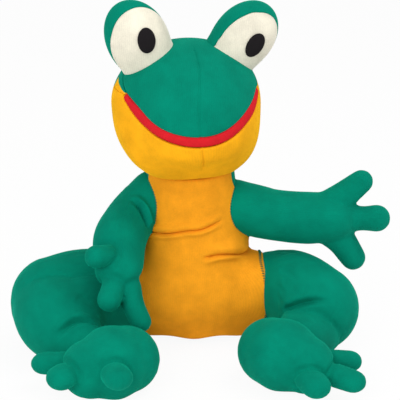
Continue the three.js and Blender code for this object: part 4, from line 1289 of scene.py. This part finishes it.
def evenly(line, pitch):
    """Points at one pitch along a closed line, after a running mean over seven of its points."""
    wide = np.vstack([line[-3:], line, line[:3]])
    line = np.mean([wide[i : i + len(line)] for i in range(7)], axis=0)
    line = np.vstack([line, line[:1]])
    run = np.concatenate([[0], np.cumsum(np.linalg.norm(np.diff(line, axis=0), axis=1))])
    spots = np.linspace(0, run[-1], int(run[-1] / pitch), endpoint=False)
    return np.stack([np.interp(spots, run, line[:, k]) for k in range(3)], 1)


def overcast(name, line, out):
    """Short threads across a seam: spindles whose ends dip under the cloth, slanting to one side."""
    along = unit(np.roll(line, -1, 0) - np.roll(line, 1, 0))
    across = unit(np.cross(out, along) + 0.35 * along)
    t = np.linspace(-1, 1, 7)
    turn = 2 * np.pi * np.arange(6) / 6
    girth = THREAD_RADIUS * np.sqrt(1.02 - t**2)
    spine = across[:, None] * (t * STITCH_LENGTH / 2)[:, None]
    spine = spine + out[:, None] * (THREAD_RADIUS * (1 - 2.2 * t**2))[:, None]
    side = np.cross(across, out)
    ring = side[:, None] * np.cos(turn)[:, None] + out[:, None] * np.sin(turn)[:, None]
    points = line[:, None, None] + spine[:, :, None] + ring[:, None] * girth[:, None, None]
    one = [grid_faces(7, 6, True), np.arange(6)[None, ::-1], 36 + np.arange(6)[None]]
    step = 42 * np.arange(len(line))[:, None, None]
    faces = [(part[None] + step).reshape(-1, part.shape[1]) for part in one]
    return new_piece(name, points.reshape(-1, 3), faces)


class FROG_OT_stitches(bpy.types.Operator):
    """Overcasts the seams of the arms and the legs."""

    bl_idname = "frog.stitches"
    bl_label = "Stitches"

    def execute(self, context):
        body, dye = context.scene.frog_body, context.scene.frog_colours
        thread = material("green_thread", felt, shade(dye.green, 0.7), 0.4)
        pitch = body.stitch * 1000
        for side, sign in SIDES.items():
            line = evenly(seam_round(bpy.data.objects["arm_plush_" + side], sign), pitch)
            middle = torso_points(line[:, 2], 0 * line[:, 2], 0 * line[:, 2])
            rows = [("armhole_stitches_", line, unit(unit(line - middle) + unit(line - line.mean(0)) * 0.5))]
            turn = np.arange(0, 2 * np.pi, pitch / HIP_RADIUS)[:, None]
            ring = np.cos(turn) * np.array([0, 1.0, 0]) + np.sin(turn) * UP
            place = hip_seam(HIP_AT[2] + ring[:, 2:] * HIP_RADIUS) - HIP_STITCH_INSET
            seam = HIP_AT + ring * np.sqrt(HIP_RADIUS**2 - np.maximum(place - HIP_ROUND_X, 0) ** 2)
            seam[:, :1] = sign * place
            rows.append(("hip_stitches_", seam, ring))
            for name, spots, out in rows:
                finish_skin(overcast(name + side, spots, out), thread, "torso", [])
        return {"FINISHED"}


# Stage


class FROG_OT_stage(bpy.types.Operator):
    """Sets up the pale floor, the soft light and the camera."""

    bl_idname = "frog.stage"
    bl_label = "Stage"

    def execute(self, context):
        stage, scene = context.scene.frog_stage, context.scene
        scene.view_settings.view_transform = "Standard"
        target = (PUPPET + VIEW_AT) * MM
        back = np.array([0, -math.cos(stage.elevation), math.sin(stage.elevation)])
        lens = bpy.data.cameras.new("camera")
        lens.sensor_width = 36
        lens.lens = 36 * stage.distance / stage.span
        camera = bpy.data.objects.new("camera", lens)
        camera.location = (target + back * stage.distance).tolist()
        camera.rotation_euler = (math.pi / 2 - stage.elevation, 0, 0)
        scene.collection.objects.link(camera)
        scene.camera = camera

        size = 6.0
        corners = np.array([[-size, -size, 0], [size, -size, 0], [size, size, 0], [-size, size, 0]])
        mesh = bpy.data.meshes.new("floor")
        mesh.from_pydata(corners.tolist(), [], [[0, 1, 2, 3]])
        mesh.materials.append(material("white_paper", paper))
        floor = bpy.data.objects.new("floor", mesh)
        scene.collection.objects.link(floor)

        scene.world = bpy.data.worlds.new("light_tent")
        tree = new_tree(scene.world)
        tent, white = (
            add(tree, "ShaderNodeBackground", Color=(1, 1, 1, 1), Strength=strength).outputs[0]
            for strength in (stage.fill, 1.0)
        )
        both = add(tree, "ShaderNodeMixShader", i0=seen_directly(tree), i1=tent, i2=white).outputs[0]
        add(tree, "ShaderNodeOutputWorld", Surface=both)

        for name, (place, share, width) in SOFTBOXES.items():
            lamp = bpy.data.lights.new(name, "AREA")
            lamp.shape = "SQUARE"
            lamp.size = width
            lamp.energy = stage.key * share
            light = bpy.data.objects.new(name, lamp)
            light.location = (np.array(place) + np.array([target[0], target[1], 0])).tolist()
            aim = UP * AIM_HEIGHT - np.array(place)
            flat = math.hypot(aim[0], aim[1])
            light.rotation_euler = (math.atan2(flat, -aim[2]), 0, math.atan2(-aim[0], aim[1]))
            scene.collection.objects.link(light)
        return {"FINISHED"}


class FROG_PT_panel(bpy.types.Panel):
    """Lists the frog's pieces and their sizes in the sidebar."""

    bl_idname = "FROG_PT_panel"
    bl_label = "Frog hand puppet"
    bl_space_type = "VIEW_3D"
    bl_region_type = "UI"
    bl_category = "Frog"

    def draw(self, context):
        for operator in OPERATORS:
            self.layout.operator(operator.bl_idname)
        for name, group in GROUPS.items():
            box = self.layout.box()
            for key in group.__annotations__:
                box.prop(getattr(context.scene, name), key)


GROUPS = {"frog_head": FrogHead, "frog_body": FrogBody, "frog_colours": FrogColours, "frog_stage": FrogStage}
OPERATORS = (
    FROG_OT_stage, FROG_OT_sleeve, FROG_OT_head, FROG_OT_mouth, FROG_OT_eyes, FROG_OT_limbs, FROG_OT_stitches,
)


def register():
    """Registers the sizes, the operators and the panel."""
    for name, group in GROUPS.items():
        bpy.utils.register_class(group)
        setattr(bpy.types.Scene, name, PointerProperty(type=group))
    for kind in (*OPERATORS, FROG_PT_panel):
        bpy.utils.register_class(kind)


def unregister():
    """Takes them out again."""
    for kind in (FROG_PT_panel, *OPERATORS[::-1]):
        bpy.utils.unregister_class(kind)
    for name, group in GROUPS.items():
        delattr(bpy.types.Scene, name)
        bpy.utils.unregister_class(group)


def main():
    """Registers the sidebar and its sizes, sets the stage and sews the puppet."""
    register()
    bpy.ops.frog.stage()
    bpy.ops.frog.sleeve()
    bpy.ops.frog.head()
    bpy.ops.frog.mouth()
    bpy.ops.frog.eyes()
    bpy.ops.frog.limbs()
    bpy.ops.frog.stitches()


if __name__ == "__main__":
    main()
